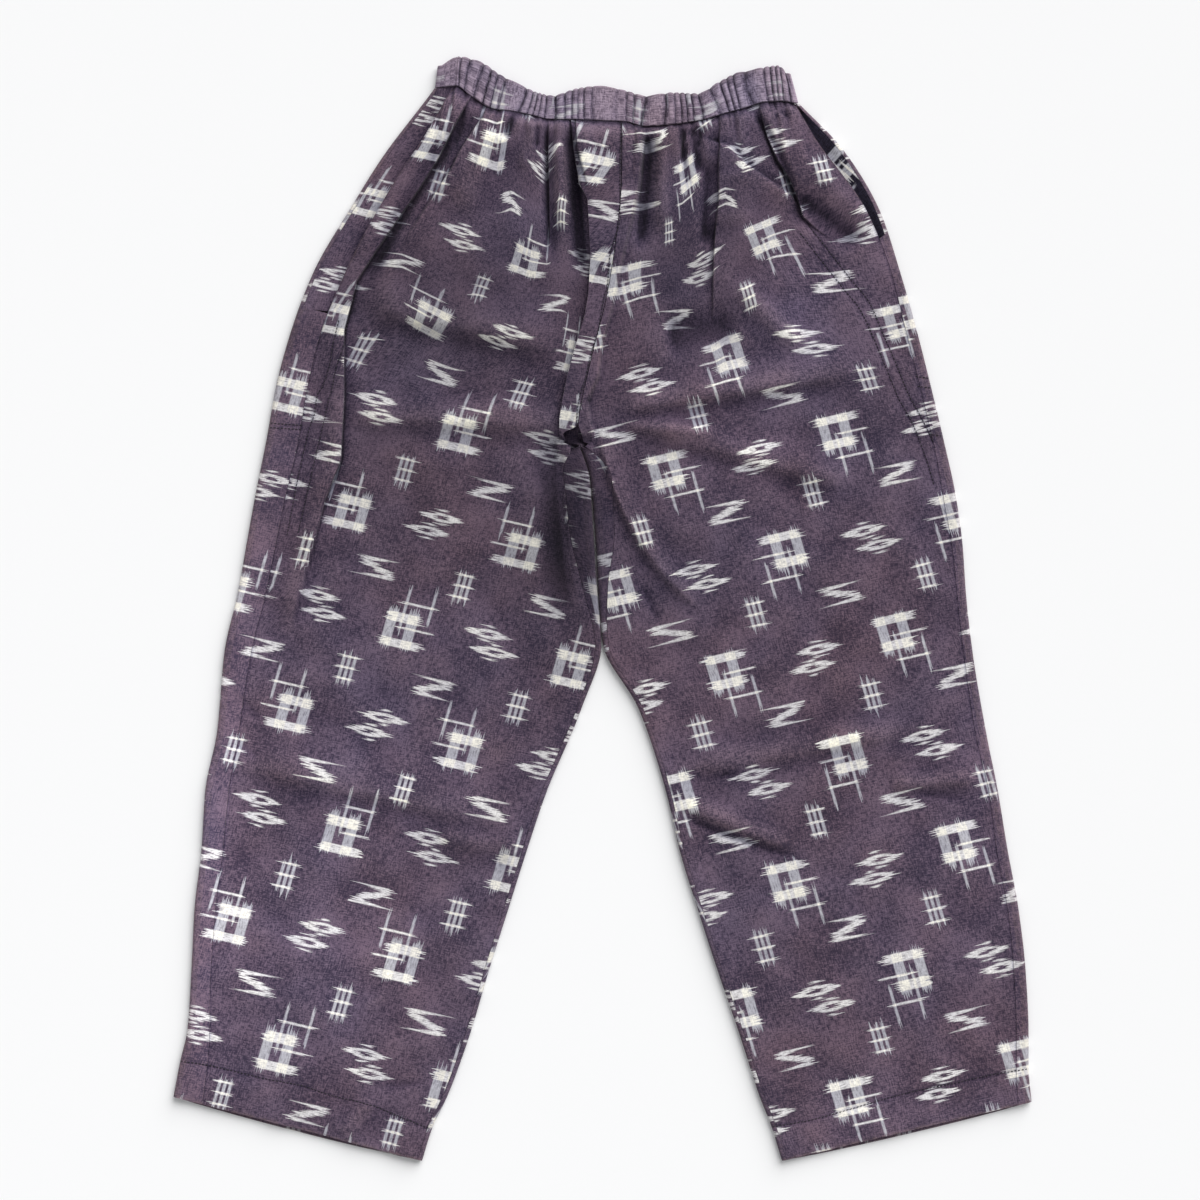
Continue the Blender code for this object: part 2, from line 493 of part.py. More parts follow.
def band_half(layer, material):
    """Half of the waistband: a gathered casing with a rounded top edge, rolled over at its far side."""
    place, roll, end = band_path(layer)
    line = {name: through(values, place) for name, values in BAND_LINE.items()}
    seam = np.stack([line["seam_x"], line["seam_y"]], axis=-1)
    top = np.stack([line["top_x"], line["top_y"]], axis=-1)
    way = np.stack([line["seam_x"] * 0 + 1.0, line["seam_x"] * 0], axis=-1) * end[:, None]
    out = way * (BAND_ROLL * np.sin(roll))[:, None]
    middle = BAND_ROLL + 0.5 * BAND_WALL + BAND_ROLL * np.cos(roll)
    facing = np.stack([way[:, 0] * np.sin(roll), way[:, 1] * np.sin(roll), np.cos(roll)], axis=-1)
    run = (place - BAND_SIDE_SEAM) / (len(BAND) - 1.0 - BAND_SIDE_SEAM)
    phase = np.pi * (BAND_GATHERS * run + 0.30 * np.sin(19.0 * run) + 0.20 * np.sin(47.0 * run + 1.0))
    wave = np.abs(np.sin(phase)) ** 0.7 - 1.0
    plain = np.exp(-(((line["seam_x"] - 3 * MM) / (16 * MM)) ** 2))
    depth = GATHER_DEPTH * (1.0 - 0.85 * plain) * (np.cos(roll) > 0.9) * (layer == "front")
    # Cross-section round the casing: share of the way from seam to top edge, half-wall, gathers felt
    section = np.array([
        (0.03, -1.0, 0.0), (0.50, -1.0, 0.0), (0.97, -1.0, 0.0), (1.00, -0.2, 0.0),
        (0.98, 0.70, 0.6), (0.76, 1.00, 1.0), (0.50, 1.00, 1.0), (0.24, 1.00, 1.0),
        (0.02, 0.70, 0.8), (0.00, -0.2, 0.0)])
    share = section[:, 0][None, :, None]
    plan = seam[:, None, :] * (1.0 - share) + top[:, None, :] * share
    offset = section[:, 1] * 0.5 * BAND_WALL + section[:, 2] * (wave * depth)[:, None]
    points = np.zeros((len(place), len(section), 3))
    points[..., :2] = plan + out[:, None, :] + facing[:, None, :2] * offset[..., None]
    points[..., 2] = middle[:, None] + facing[:, None, 2] * offset
    return close_tube(f"waistband_{layer}", points, material)


def close_tube(name, points, material):
    """Close a tube of cross-sections along a path with a cap at each end."""
    rows, around = points.shape[:2]
    index = np.arange(rows * around).reshape(rows, around)
    ahead = np.roll(index, -1, axis=1)
    quads = np.stack([index[:-1], ahead[:-1], ahead[1:], index[1:]], axis=-1).reshape(-1, 4)
    faces = quads.tolist() + [index[0, ::-1].tolist(), index[-1].tolist()]
    mesh = bpy.data.meshes.new(name)
    mesh.from_pydata(points.reshape(-1, 3).tolist(), [], faces)
    mesh.validate()
    body = bpy.data.objects.new(name, mesh)
    bpy.context.collection.objects.link(body)
    turn_outward(mesh)
    mesh.materials.append(material)
    mesh.shade_smooth()
    mesh.set_sharp_from_angle(angle=np.radians(50.0))
    return body


def build():
    """Make every piece of the trousers."""
    front_cloth = cloth("kasuri cotton", CLOTH_COLOUR, 0.9)
    back_cloth = cloth("kasuri cotton, worn", FADED_COLOUR, 0.9)
    pocket_cloth = cloth("kasuri cotton, unworn", UNWORN_COLOUR, 0.9)
    band_cloth = cloth("kasuri cotton, gathered", BAND_COLOUR, 0.92)
    for side in ("left", "right"):
        front_panel(side, front_cloth)
        back_panel(side, back_cloth)
        pocket_side(side, pocket_cloth)
    band_half("front", band_cloth)
    band_half("back", band_cloth)


build()
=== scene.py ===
"""Looks of the monpe work trousers, laid flat with the front up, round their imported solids.

+X is the viewer's right, +Y runs up to the waist and +Z is off the surface.  Lengths in the tables are
millimetres, everything after them is metres.  Rows run across a leg along the weft, stations down it.
"""
import bpy
import numpy as np
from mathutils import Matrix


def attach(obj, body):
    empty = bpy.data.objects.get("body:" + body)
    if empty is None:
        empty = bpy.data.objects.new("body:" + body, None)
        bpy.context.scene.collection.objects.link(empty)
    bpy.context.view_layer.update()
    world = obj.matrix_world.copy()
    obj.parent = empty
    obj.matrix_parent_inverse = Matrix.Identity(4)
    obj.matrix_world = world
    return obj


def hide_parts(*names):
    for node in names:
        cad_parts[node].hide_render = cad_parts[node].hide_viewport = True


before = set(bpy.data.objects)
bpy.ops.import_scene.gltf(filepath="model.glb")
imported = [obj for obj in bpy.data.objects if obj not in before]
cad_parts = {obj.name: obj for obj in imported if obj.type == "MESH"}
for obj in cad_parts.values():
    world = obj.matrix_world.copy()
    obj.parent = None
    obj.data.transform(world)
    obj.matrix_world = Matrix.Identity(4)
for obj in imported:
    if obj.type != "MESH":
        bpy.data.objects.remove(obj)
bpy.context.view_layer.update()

MM = 0.001
CLOTH = 0.7 * MM             # cloth thickness as shown
BAND_CLOTH = 0.45 * MM       # and on the gathered band
HEM_EXTRA = 0.8              # the turned-up hem is thicker by so much of the cloth
SEAM_GAP = 0.3 * MM          # between two panels that are sewn together
FOLD_TAPER = 12 * MM         # folds die out over this distance from a rolled edge
EDGE_SPREAD = 16 * MM        # how far a rolled edge lifts the cloth beside it
PLEAT_END = 8 * MM           # the pleat dies out over this distance below its last row
POCKET_RIM = 3.5 * MM        # the back panel's rolled rim beside a pocket opening
TUCK_UNDER = 14 * MM         # pocket side hidden under the slanted front edge
POCKET_SIDE_TOP = 4.3 * MM   # its height where the front edge covers it
BACK_HEM_DROP = 3 * MM       # the back hem shows below the front one by so much
OUTER_ROLL = 3.2 * MM        # radius of the rolled outer edge
FOLD_GAIN = 2.0              # the looks carry the folds deeper than the solids do
LEAST_HEIGHT = 2.6 * MM      # of the upper layer, eased in over LEAST_EASE
LEAST_EASE = 0.5 * MM
SHADE_UNDER = 4 * MM         # the foot of a sharp fold counts as a trough so deep
PUFF = 3.0 * MM              # the gathers fill the cloth out below the band
NARROW_GATHER = 3.0 * MM     # heights of the gathers that run down from the band
WIDE_GATHER = 2.4 * MM
PUCKER = 0.55 * MM           # depth of the puckers along the seams
STATION = 50 * MM            # usual way from one station to the next
HEM_STATION = 32 * MM        # and at the hem
CROTCH = 5.0                 # station of the crotch point
CURL_START = 5.2             # the edges below the crotch roll up from here
CURL_RUN = 0.24              # and over so many stations
OPENING = {"left": 11 * MM, "right": 3 * MM}     # the front panels stand back from the hole at the crotch
HEM_STITCH = 17.0            # station of the hem's stitching
HEM = 18.0                   # station of its edge
POCKET_START = {"left": 0.0, "right": 0.2}      # stations between which the pockets are open
POCKET_END = {"left": 3.6, "right": 2.4}

# Leg stations from waist to hem, as in the part's source.
LEG_COLUMNS = ("outer_x", "outer_y", "inner_x", "inner_y",
               "outer_strip", "inner_strip", "inner_roll", "settle")
LEFT_LEG = (
    (-140.8, 431.7, 15.8, 407.5, 16, 0, 3.2, 7.5),
    (-180, 383.3, 15.4, 358.3, 22.5, 0, 3.2, 7.5),
    (-211.7, 333.3, 10.8, 308.3, 23, 0, 3.2, 7),
    (-240.8, 283.3, 2.5, 258.3, 26, 0, 3.2, 6.5),
    (-260, 233.3, -10, 208.3, 25, 0, 3.8, 6),
    (-272.5, 187.5, -20.8, 150, 26, 0, 4.4, 6),
    (-280.8, 141.7, -10.8, 110, 26.5, 22, 4.4, 5.5),
    (-290, 95.8, -7.5, 62.5, 25, 20, 4.2, 5),
    (-297.5, 54.2, -4.6, 16.7, 24, 12, 3.8, 4.8),
    (-305, 12.5, -1.3, -29.2, 23, 5, 3.4, 4.6),
    (-315.8, -35, -18.3, -83.3, 22, 3.6, 3.2, 4.5),
    (-321.7, -100, -47, -151.7, 18, 3.6, 3.2, 4.5),
    (-331.7, -150, -63.8, -201.7, 19.5, 3.6, 3.2, 4.5),
    (-335, -200, -79.6, -251.7, 18, 3.6, 3.2, 4.5),
    (-340.8, -250, -95.4, -301.7, 17.5, 3.6, 3.2, 4.5),
    (-343.3, -300, -110.4, -352.5, 16.5, 3.6, 3.2, 4.6),
    (-346.7, -350, -129.2, -404.2, 19, 3.6, 3.2, 4.8),
    (-352.5, -375.8, -142.5, -432.5, 23, 3.6, 3.2, 5.2),
    (-358.3, -405.8, -150.8, -459.2, 25, 3.6, 3.2, 5.4),
)
RIGHT_LEG = (
    (164.2, 421.7, 15.8, 407.5, 4.6, 0, 3.2, 7.5),
    (200.8, 383.3, 15.4, 358.3, 16, 0, 3.2, 7.5),
    (230.8, 333.3, 10.8, 308.3, 11, 0, 3.2, 7),
    (247.5, 283.3, 2.5, 258.3, 7.5, 0, 3.2, 6.5),
    (261.7, 233.3, -10, 208.3, 9, 0, 3.8, 6),
    (273.3, 187.5, -20.8, 150, 9, 0, 4.4, 6),
    (284.2, 141.7, -10.8, 110, 9, 17.5, 4.4, 5.5),
    (294.2, 95.8, -6.7, 62.5, 10.5, 16, 4.2, 5),
    (300, 54.2, -4.2, 16.7, 9, 8, 3.8, 4.8),
    (302.9, 12.5, 0, -29.2, 7.5, 4.4, 3.4, 4.6),
    (308.3, -35, 30, -83.3, 7.5, 3.6, 3.2, 4.5),
    (319.2, -100, 52.5, -151.7, 9, 3.6, 3.2, 4.5),
    (329.2, -150, 64.2, -201.7, 7.5, 3.6, 3.2, 4.5),
    (337.5, -200, 79.6, -251.7, 9, 3.6, 3.2, 4.5),
    (346.7, -250, 95.8, -301.7, 9, 3.6, 3.2, 4.5),
    (352.5, -300, 113.3, -352.5, 10, 3.6, 3.2, 4.6),
    (355, -350, 130, -404.2, 10.5, 3.6, 3.2, 4.8),
    (355, -380.8, 140.4, -430.8, 10.5, 3.6, 3.2, 5.2),
    (357.5, -410, 149.2, -459.2, 11.5, 3.6, 3.2, 5.4),
)
# The waistband from the viewer's left to right: its seam with the trousers and its top edge.
BAND_COLUMNS = ("seam_x", "seam_y", "top_x", "top_y")
BAND = (
    (-140, 435, -137.5, 451.7),
    (-122.5, 436.7, -120.8, 460.8),
    (-110, 428.3, -102.5, 456.7),
    (-90.8, 417.5, -85.8, 445.8),
    (-75.8, 415.8, -69.2, 437.5),
    (-59.2, 412.5, -54.2, 430.8),
    (-44.2, 409.2, -41.7, 428.3),
    (-23.3, 408.8, -21.7, 434.2),
    (-2.5, 407.9, -2.5, 436.7),
    (18.3, 407.1, 17.5, 432.9),
    (35, 403.3, 35.8, 428.3),
    (60, 405, 58.3, 430.8),
    (80.8, 408.3, 78.3, 430),
    (102.5, 414.2, 95.8, 439.2),
    (117.5, 418.3, 112.5, 447.5),
    (134.2, 423.3, 128.3, 450.8),
    (149.2, 424.2, 145, 453.3),
    (162.5, 422, 155, 445),
)
BAND_WALL = 3.2 * MM         # height of one half's casing
BAND_ROLL = 2.1 * MM         # radius where the band turns over at its ends
BAND_GATHERS = 38            # from end to end
GATHER_DEPTH = 3.0 * MM      # of the gathers in the band's face
BAND_SIDE_SEAM = 1.0         # the side seam's place in the table
BAND_FULLNESS = 1.24         # cloth for each length of the seam
BAND_CHART = 27.0            # the chart's millimetres from the seam to the top edge

# Folds.  Each runs from its start to its end with a bow to the right of that way, spreads over its
# right and left width, and stands up by its height or sinks.
FOLD_COLUMNS = ("start_x", "start_y", "end_x", "end_y", "bow", "right", "left", "height")
FOLDS = {
    "left pocket valley": (-106, 415, -196, 270, 7, 9, 7, -3),
    "left hump": (-84, 402, -118, 330, 6, 14, 10, 2.6),
    "right hip hump": (112, 366, 112, 318, 0, 16, 14, 2),
    "right dark hollow": (87, 372, 84, 300, 0, 4, 9, -2.2),
    "left small pleat": (-73.3, 415, -84, 392, 0, 3, 4, -2),
    "left small ridge": (-59.2, 408.3, -67.5, 366, 0, 5, 6, 2),
    "left gather hollow": (-46, 404, -41.7, 288, 0, 5, 6, -2.5),
    "left gather ridge": (-35.8, 388, -34.2, 320, 0, 6, 6, 2.5),
    "left centre hollow": (-25.5, 404, -15.8, 280, 0, 8, 4, -4),
    "right centre hollow": (38, 400, 30, 300, 0, 4, 7, -3.5),
    "right gather ridge": (48.5, 402, 49.2, 312, 0, 5, 6, 2),
    "right gather hollow": (72.5, 404, 81, 362, 0, 4, 5, -2.5),
    "right pocket hollow": (124, 420, 163, 338, -3, 4, 3, -2.2),
    "right pocket shade": (160, 345, 216, 304, 0, 12, 8, -2.8),
    "right pocket crest": (160, 385, 224, 318, 0, 9, 9, 1.6),
    "right hip dip": (52, 228, 112, 238, 0, 14, 14, -2.5),
    "right hip rise": (110, 270, 168, 217, 0, 10, 10, 2.5),
    "left upper drag": (-196, 255, -28, 216, 0, 11, 20, 3.5),
    "left lower drag": (-217, 163, -24, 154, 0, 10, 18, 3),
    "left inseam hollow": (-42.5, 152, -30.8, -10, 0, 14, 6, -2.5),
    "right upper drag": (16, 168, 214, 198.5, 0, 7, 16, 3.5),
    "right middle drag": (14, 155, 96, 146.5, 0, 6, 5, 2),
    "right lower drag": (28, 152.5, 208, 103.5, 0, 8, 14, 2.5),
    "right crotch ridge": (-2.5, 148, 82, 0, 16, 4, 12, 2.3),
    "left pocket bag": (-214, 250, -265, -25, -11, 14, 5, 1.6),
    "left knee ridge": (-308, -126, -60, -182, 0, 9, 24, 2.5),
    "left calf ridge": (-138, -188, -64, -200, 0, 8, 12, 1.8),
    "right knee ridge": (67, -135, 270, -98, 0, 6, 14, 1.8),
    "right outer ridge": (241, -147, 314, -140, 0, 6, 9, 2.2),
    "right calf ridge": (69, -163, 162, -202, 0, 6, 10, 2.4),
    "left hem crease": (-194, -408, -217, -439, 0, 5, 7, 1.5),
}
# Sharp small creases that only the looks carry.
CREASES = {
    "right thigh crease": (73, -139, 115, -136.5, 0, 2.2, 2.8, -0.9),
    "right shin crease": (68, -173, 164, -206, 2, 2.4, 3, -1.2),
    "right outer crease": (252, -150, 306, -159, 0, 2.4, 3, -0.8),
    "left calf crease": (-198, -331, -178, -321, 0, 2.4, 3, 0.7),
    "left side crease 1": (-306, -75, -285, -92, 0, 2.4, 3.2, -0.8),
    "left side crease 2": (-308, -110, -288, -124, 0, 2.4, 3.2, -0.7),
    "left low crease": (-181, -398, -148, -394, 0, 2.4, 3, -0.7),
    "right centre crease": (36, 396, 35.8, 356, 0, 2, 2.2, -1.6),
    "right bundle 1": (67, 404, 66.7, 372, 0, 2, 2.4, -2.2),
    "right bundle 2": (80.8, 404, 79.5, 384, 0, 2.2, 2.4, -2.2),
    "left bundle 1": (-25, 405, -24, 383, 0, 1.8, 2.2, -2.6),
    "left bundle 2": (-54, 404, -56, 384, 0, 2.2, 2.4, -1.8),
    "left bundle 3": (-76, 412, -80, 392, 0, 2.2, 2.6, -2.2),
    "left band crease": (-86, 425, -85, 408, 0, 2, 2.4, -1.6),
    "left dart": (-63.3, 405, -63.3, 370, 0, 2.4, 2.6, -1.4),
    "right dart 1": (64, 403, 70.8, 352, 0, 2.2, 2.6, -1.3),
    "right dart 2": (139, 425, 156, 408, 0, 2.4, 3, -1.2),
    "crotch tuck": (33, 19, 47.5, -11, 0, 2.2, 3, -1),
    "right crotch crest": (-2.5, 148, 82, 0, 16, 1.5, 2, 0.7),
    "left crotch crest": (-36, 150, -24, 20, 6, 2, 1.5, 0.5),
}
# The pressed-up pleat along the centre front seam: its left and right edge and its rise.
PLEAT_COLUMNS = ("y", "left", "right", "rise")
PLEAT = (
    (407.5, -24.2, 31.7, 5),
    (386.7, -22.5, 31.3, 8),
    (354.2, -17.5, 28.3, 8.5),
    (341.7, -10.8, 25.8, 8.5),
    (315.8, -9.2, 20, 8),
    (291.7, -8.3, 14.2, 8),
    (261.7, -10, 7.5, 8),
    (243.3, -13.3, 3.3, 8),
    (213.3, -22.5, -4.2, 8),
    (195, -27.5, -5.5, 8),
    (174, -31.5, -15, 7.5),
    (160, -34, -13.5, 6.5),
    (148, -34.2, -10, 5),
)
PLEAT_LEFT_EDGE = 2.6 * MM   # widths of its slopes
PLEAT_RIGHT_EDGE = 5.0 * MM
PLEAT_LEAN = 2.2 * MM        # its left edge leans out by so much

# Sharp folds that run down from the waist.  Each gives its leg, the side of it that stands up, how wide its
# slope is, how far the raised cloth reaches and the places it passes with its rise there.
EDGE_COLUMNS = ("x", "y", "rise")
EDGES = {
    "left pocket flap": ("left", -1, 2.2, 22.0, (
        (-108, 432, 4.5), (-125.8, 400, 6), (-138.3, 375, 6), (-154.2, 350, 5.6), (-171.7, 325, 5),
        (-190, 298.3, 4.4), (-205.8, 273.3, 3.4), (-215.8, 233, 3.2), (-216, 175, 3.2), (-218.8, 125, 3.2),
        (-231.7, 91.7, 3), (-244, 45, 2.8), (-254, 8, 2), (-259, -17, 0))),
    "left pocket bank": ("left", 1, 3.0, 34.0, (
        (-92.5, 420, 2.5), (-104.2, 404.2, 5), (-117.5, 383.3, 5.6), (-125.8, 366.7, 5), (-140, 345.8, 3.4),
        (-156.7, 320.8, 1.8), (-169.2, 300, 0))),
    "left gather step": ("left", 1, 2.2, 15.0, (
        (-45, 407, 2.5), (-45, 383.3, 4.2), (-44.2, 341.7, 4.2), (-44.2, 316.7, 2.4), (-45.8, 290, 0))),
    "left pleat strip": ("left", 1, 1.8, 7.0, (
        (-20.8, 407, 3), (-19.2, 383.3, 3.2), (-12.5, 354.2, 1), (-10.8, 341.7, 0))),
    "right hip step": ("right", 1, 2.4, 26.0, (
        (97.5, 404, 1.5), (96.7, 383.3, 4.2), (96.7, 341.7, 4.6), (94.2, 316.7, 4.2), (92.5, 295.8, 3.6),
        (91.7, 266.7, 2.4), (91, 233.3, 0))),
    "right hip crest": ("right", -1, 4.5, 22.0, (
        (72, 404, 0), (80.8, 393.3, 2.5), (101.7, 387.5, 3.6), (118.3, 370.8, 3.8), (143.3, 354.2, 3.4),
        (160, 341.7, 2), (175, 325, 0))),
    "right pocket roll": ("right", 1, 2.4, 26.0, (
        (130.8, 418, 2.5), (137.5, 393.3, 5), (145.8, 374.2, 6.6), (155, 360.8, 6.6), (161.7, 345, 6.2),
        (166.5, 328, 4.4), (176, 318.3, 1.6), (190, 308, 0))),
}
EDGE_LEAN = 1.3 * MM         # a sharp fold's raised side leans out over the low one
CRISP_WIDTH = 2.3            # a fold narrower than this has a painted shadow line at its foot

# Soft rumples: wavelength, the way they run in degrees, phase, height.
RUMPLES = ((61.0, 12.0, 0.3, 0.35), (43.0, 74.0, 1.9, 0.25), (29.0, 140.0, 4.1, 0.16),
           (83.0, 100.0, 2.2, 0.40), (37.0, 35.0, 5.3, 0.18), (23.0, 88.0, 0.9, 0.10))
SOFTENED = 26                # times that a mean is taken to find the troughs
HALVINGS = 30                # and a stretch halved to find a place


def table(columns, rows):
    """Give the rows' columns by name, in metres."""
    values = np.array(rows, dtype=float).T * MM
    return dict(zip(columns, values))


LEGS = {"left": table(LEG_COLUMNS, LEFT_LEG), "right": table(LEG_COLUMNS, RIGHT_LEG)}
BAND_LINE = table(BAND_COLUMNS, BAND)
PLEAT_LINE = table(PLEAT_COLUMNS, PLEAT)
FOLD_LINE = table(FOLD_COLUMNS, tuple(FOLDS.values()) + tuple(CREASES.values()))


def smoothstep(x):
    """3x^2 - 2x^3 between 0 and 1, flat outside."""
    x = np.clip(x, 0.0, 1.0)
    return x * x * (3.0 - 2.0 * x)


def bell(distance, width):
    """exp(-(distance / width)^2)."""
    return np.exp(-((distance / width) ** 2))


def sine(distance, length, phase=0.0):
    """A sine with its wavelength in millimetres."""
    return np.sin(2 * np.pi * distance / (length * MM) + phase)


def at_height(line, column, y):
    """A column of a table that runs from top to bottom, read at heights y."""
    return np.interp(y, line["y"][::-1], line[column][::-1])


def through(values, at):
    """Cubic curve through values at 0, 1, 2 ... that never overshoots them, read at the places asked for."""
    values = np.asarray(values, dtype=float)
    step = np.diff(values)
    slope = np.zeros_like(values)
    same_way = step[:-1] * step[1:] > 0
    both = np.where(same_way, step[:-1] + step[1:], 1.0)
    slope[1:-1] = np.where(same_way, 2.0 * step[:-1] * step[1:] / both, 0.0)
    slope[0] = step[0]
    slope[-1] = step[-1]
    at = np.clip(at, 0.0, len(values) - 1.0)
    low = np.minimum(at.astype(int), len(values) - 2)
    f = at - low
    a = values[low]
    b = values[low + 1]
    rise = f * f * (3.0 - 2.0 * f)
    ease_in = f * (1.0 - f) ** 2
    ease_out = f * f * (f - 1.0)
    return a + (b - a) * rise + slope[low] * ease_in + slope[low + 1] * ease_out


def leg_at(side, t):
    """Every column of a leg's table at stations t."""
    return {name: through(values, t) for name, values in LEGS[side].items()}


def fold_shape(x, y):
    """Height of all folds: the sum of height * bell(q, width) * taper, with q from the bowed line."""
    total = np.zeros_like(x)
    rows = zip(*FOLD_LINE.values())
    for start_x, start_y, end_x, end_y, bow, right, left, height in rows:
        length = np.hypot(end_x - start_x, end_y - start_y)
        along_x = (end_x - start_x) / length
        along_y = (end_y - start_y) / length
        run = ((x - start_x) * along_x + (y - start_y) * along_y) / length
        inside = np.clip(run, 0.0, 1.0)
        q = (x - start_x) * along_y - (y - start_y) * along_x - 4.0 * bow * inside * (1.0 - inside)
        taper = smoothstep((run + 0.06) / 0.22) * smoothstep((1.06 - run) / 0.30)
        total += FOLD_GAIN * height * (bell(q, np.where(q > 0, right, left)) * taper)
    return total


def edge_line(name, y):
    """Where a sharp fold lies across the leg, its slant and its rise at heights y, and on past its ends."""
    line = table(EDGE_COLUMNS, EDGES[name][-1])
    line["slant"] = np.gradient(line["x"], line["y"])
    rise = at_height(line, "rise", y) * smoothstep((y - line["y"][-1]) / (6 * MM) + 1.0)
    return at_height(line, "x", y), at_height(line, "slant", y), rise


def edge_shape(side, x, y):
    """Height, lean and shade of the sharp folds.

    The height is rise * smoothstep(distance / width) with a slow fall behind and a dip in front.  The shade
    is 1 at the foot of a fold, under its raised side, with a crisp line where the fold is narrow.
    """
    height = np.zeros_like(x)
    lean = np.zeros_like(x)
    shade = np.zeros_like(x)
    for name, (leg, high, width, reach, _) in EDGES.items():
        if leg != side:
            continue
        at, slant, rise = edge_line(name, y)
        d = high * (x - at) / np.hypot(1.0, slant)
        up = smoothstep(d / (width * MM) + 0.5)
        before = np.minimum(d, 0.0)
        crisp = 1.1 if width < CRISP_WIDTH else 0.15
        height += rise * up * bell(np.maximum(d, 0.0), reach * MM)
        height -= 0.35 * rise * (1.0 - up) * bell(before, 5 * MM)
        shade += np.minimum(rise / (5 * MM), 1.0) * (1.0 - up) * bell(before, 8 * MM)
        shade += crisp * np.minimum(rise / (2.5 * MM), 1.0) * bell(d + 1.3 * MM, 1.4 * MM)
        lean -= high * EDGE_LEAN * np.minimum(rise / (4 * MM), 1.0) * up * bell(d, 5 * MM)
    return height, lean, shade


def pleat_shape(x, y):
    """Rise of the centre front pleat, and how its left edge leans out over the cloth beside it."""
    left, right, rise = (at_height(PLEAT_LINE, column, y) for column in PLEAT_COLUMNS[1:])
    fades = smoothstep((y - PLEAT_LINE["y"][-1]) / PLEAT_END + 1.0)
    side = smoothstep(1.0 - (left - x) / PLEAT_LEFT_EDGE) * smoothstep(1.0 - (x - right) / PLEAT_RIGHT_EDGE)
    lean = -PLEAT_LEAN * side * smoothstep(1.0 - (x - left) / (9 * MM)) * fades
    return rise * side * fades, lean


def rumple(x, y):
    """Soft waves all over: each height * sin(distance along its way, bent by the others)."""
    total = np.zeros_like(x)
    for wavelength, way, phase, height in RUMPLES:
        angle = np.radians(way)
        along = x * np.cos(angle) + y * np.sin(angle)
        across = y * np.cos(angle) - x * np.sin(angle)
        bend = 0.9 * sine(across, wavelength * 2.3, 2.0 * phase)
        total += height * MM * sine(along, wavelength, phase + bend)
    return total


def band_run(x):
    """Share of the way from the band's left side seam to its right end, above a place across it."""
    place = np.interp(x, BAND_LINE["seam_x"], np.arange(len(BAND)))
    return (place - BAND_SIDE_SEAM) / (len(BAND) - 1.0 - BAND_SIDE_SEAM)


def gather_phase(run):
    """Phase of the gathers: evenly drawn up, with two slow swings that crowd and spread them."""
    return np.pi * (BAND_GATHERS * run + 0.60 * np.sin(19.0 * run) + 0.45 * np.sin(47.0 * run + 1.0))


def waist_gathers(x, y, t):
    """The gathers run down from the band: narrow ones soon die out, every other one runs on further."""
    phase = gather_phase(band_run(x - 0.05 * (x - 15 * MM) * t))
    plain = 1.0 - 0.8 * bell(x - 4 * MM, 15 * MM)
    reach = 0.50 + 0.30 * np.sin(3.1 * phase / np.pi + 1.0)
    narrow = (np.abs(np.sin(phase)) ** 0.7 - 0.6) * smoothstep(1.0 - t / np.maximum(reach, 0.2))
    reach = 1.3 + 0.8 * np.sin(1.7 * phase / np.pi)
    wide = (np.abs(np.sin(0.5 * phase + 0.4)) ** 0.8 - 0.6) * smoothstep(1.0 - t / np.maximum(reach, 0.5))
    puff = PUFF * smoothstep((y - 260 * MM) / (60 * MM)) * smoothstep(t / 0.25)
    return (NARROW_GATHER * narrow + WIDE_GATHER * wide) * plain + puff


def seam_curve():
    """The band's seam as many close points on a smooth curve."""
    at = np.linspace(0.0, len(BAND) - 1.0, 12 * len(BAND))
    return through(BAND_LINE["seam_x"], at), through(BAND_LINE["seam_y"], at)


SEAM_CURVE = seam_curve()


def on_row(leg, side, t, from_outer):
    """Plan point on the row at station t, from_outer metres in from the outer edge, and the row's length."""
    across_x = leg["inner_x"] - leg["outer_x"]
    across_y = leg["inner_y"] - leg["outer_y"]
    length = np.hypot(across_x, across_y)
    x = leg["outer_x"] + across_x / length * from_outer
    y = leg["outer_y"] + across_y / length * from_outer
    top = LEGS[side]
    share = from_outer / length
    top_x = top["outer_x"][0] + (top["inner_x"][0] - top["outer_x"][0]) * share
    top_y = top["outer_y"][0] + (top["inner_y"][0] - top["outer_y"][0]) * share
    lift = np.interp(top_x, *SEAM_CURVE) - SEAM_GAP - top_y
    y = y + lift * np.clip(1.0 - t, 0.0, 1.0) ** 2
    return x, y, length


def crotch_curl(t):
    """How far the inner edge has rolled up: 0 above the crotch, 1 below it."""
    return smoothstep((t - CURL_START) / CURL_RUN)


def seam_pucker(t, from_outer, length, leg):
    """Shallow troughs with small puckers along the side seam, the inseam and the hem stitching."""
    side_seam = from_outer - leg["outer_strip"]
    inseam = length - leg["inner_strip"] - from_outer
    down = t * STATION
    waves = 0.55 + 0.30 * sine(down, 11) + 0.25 * sine(down, 17.3, 1.0)
    dip = -PUCKER * waves * bell(side_seam, 3.2 * MM)
    dip += -0.50 * MM * waves * bell(inseam, 3.0 * MM) * crotch_curl(t)
    hem_run = (t - HEM_STITCH) * HEM_STATION
    ripple = 0.5 + 0.35 * sine(from_outer + 0.6 * hem_run, 12.7)
    ripple += 0.3 * sine(from_outer + 0.9 * hem_run, 7.9, 2.0)
    dip += -PUCKER * ripple * bell(hem_run, 2.6 * MM)
    dip += 0.30 * MM * ripple * smoothstep((t - HEM_STITCH) / 0.25)
    return dip


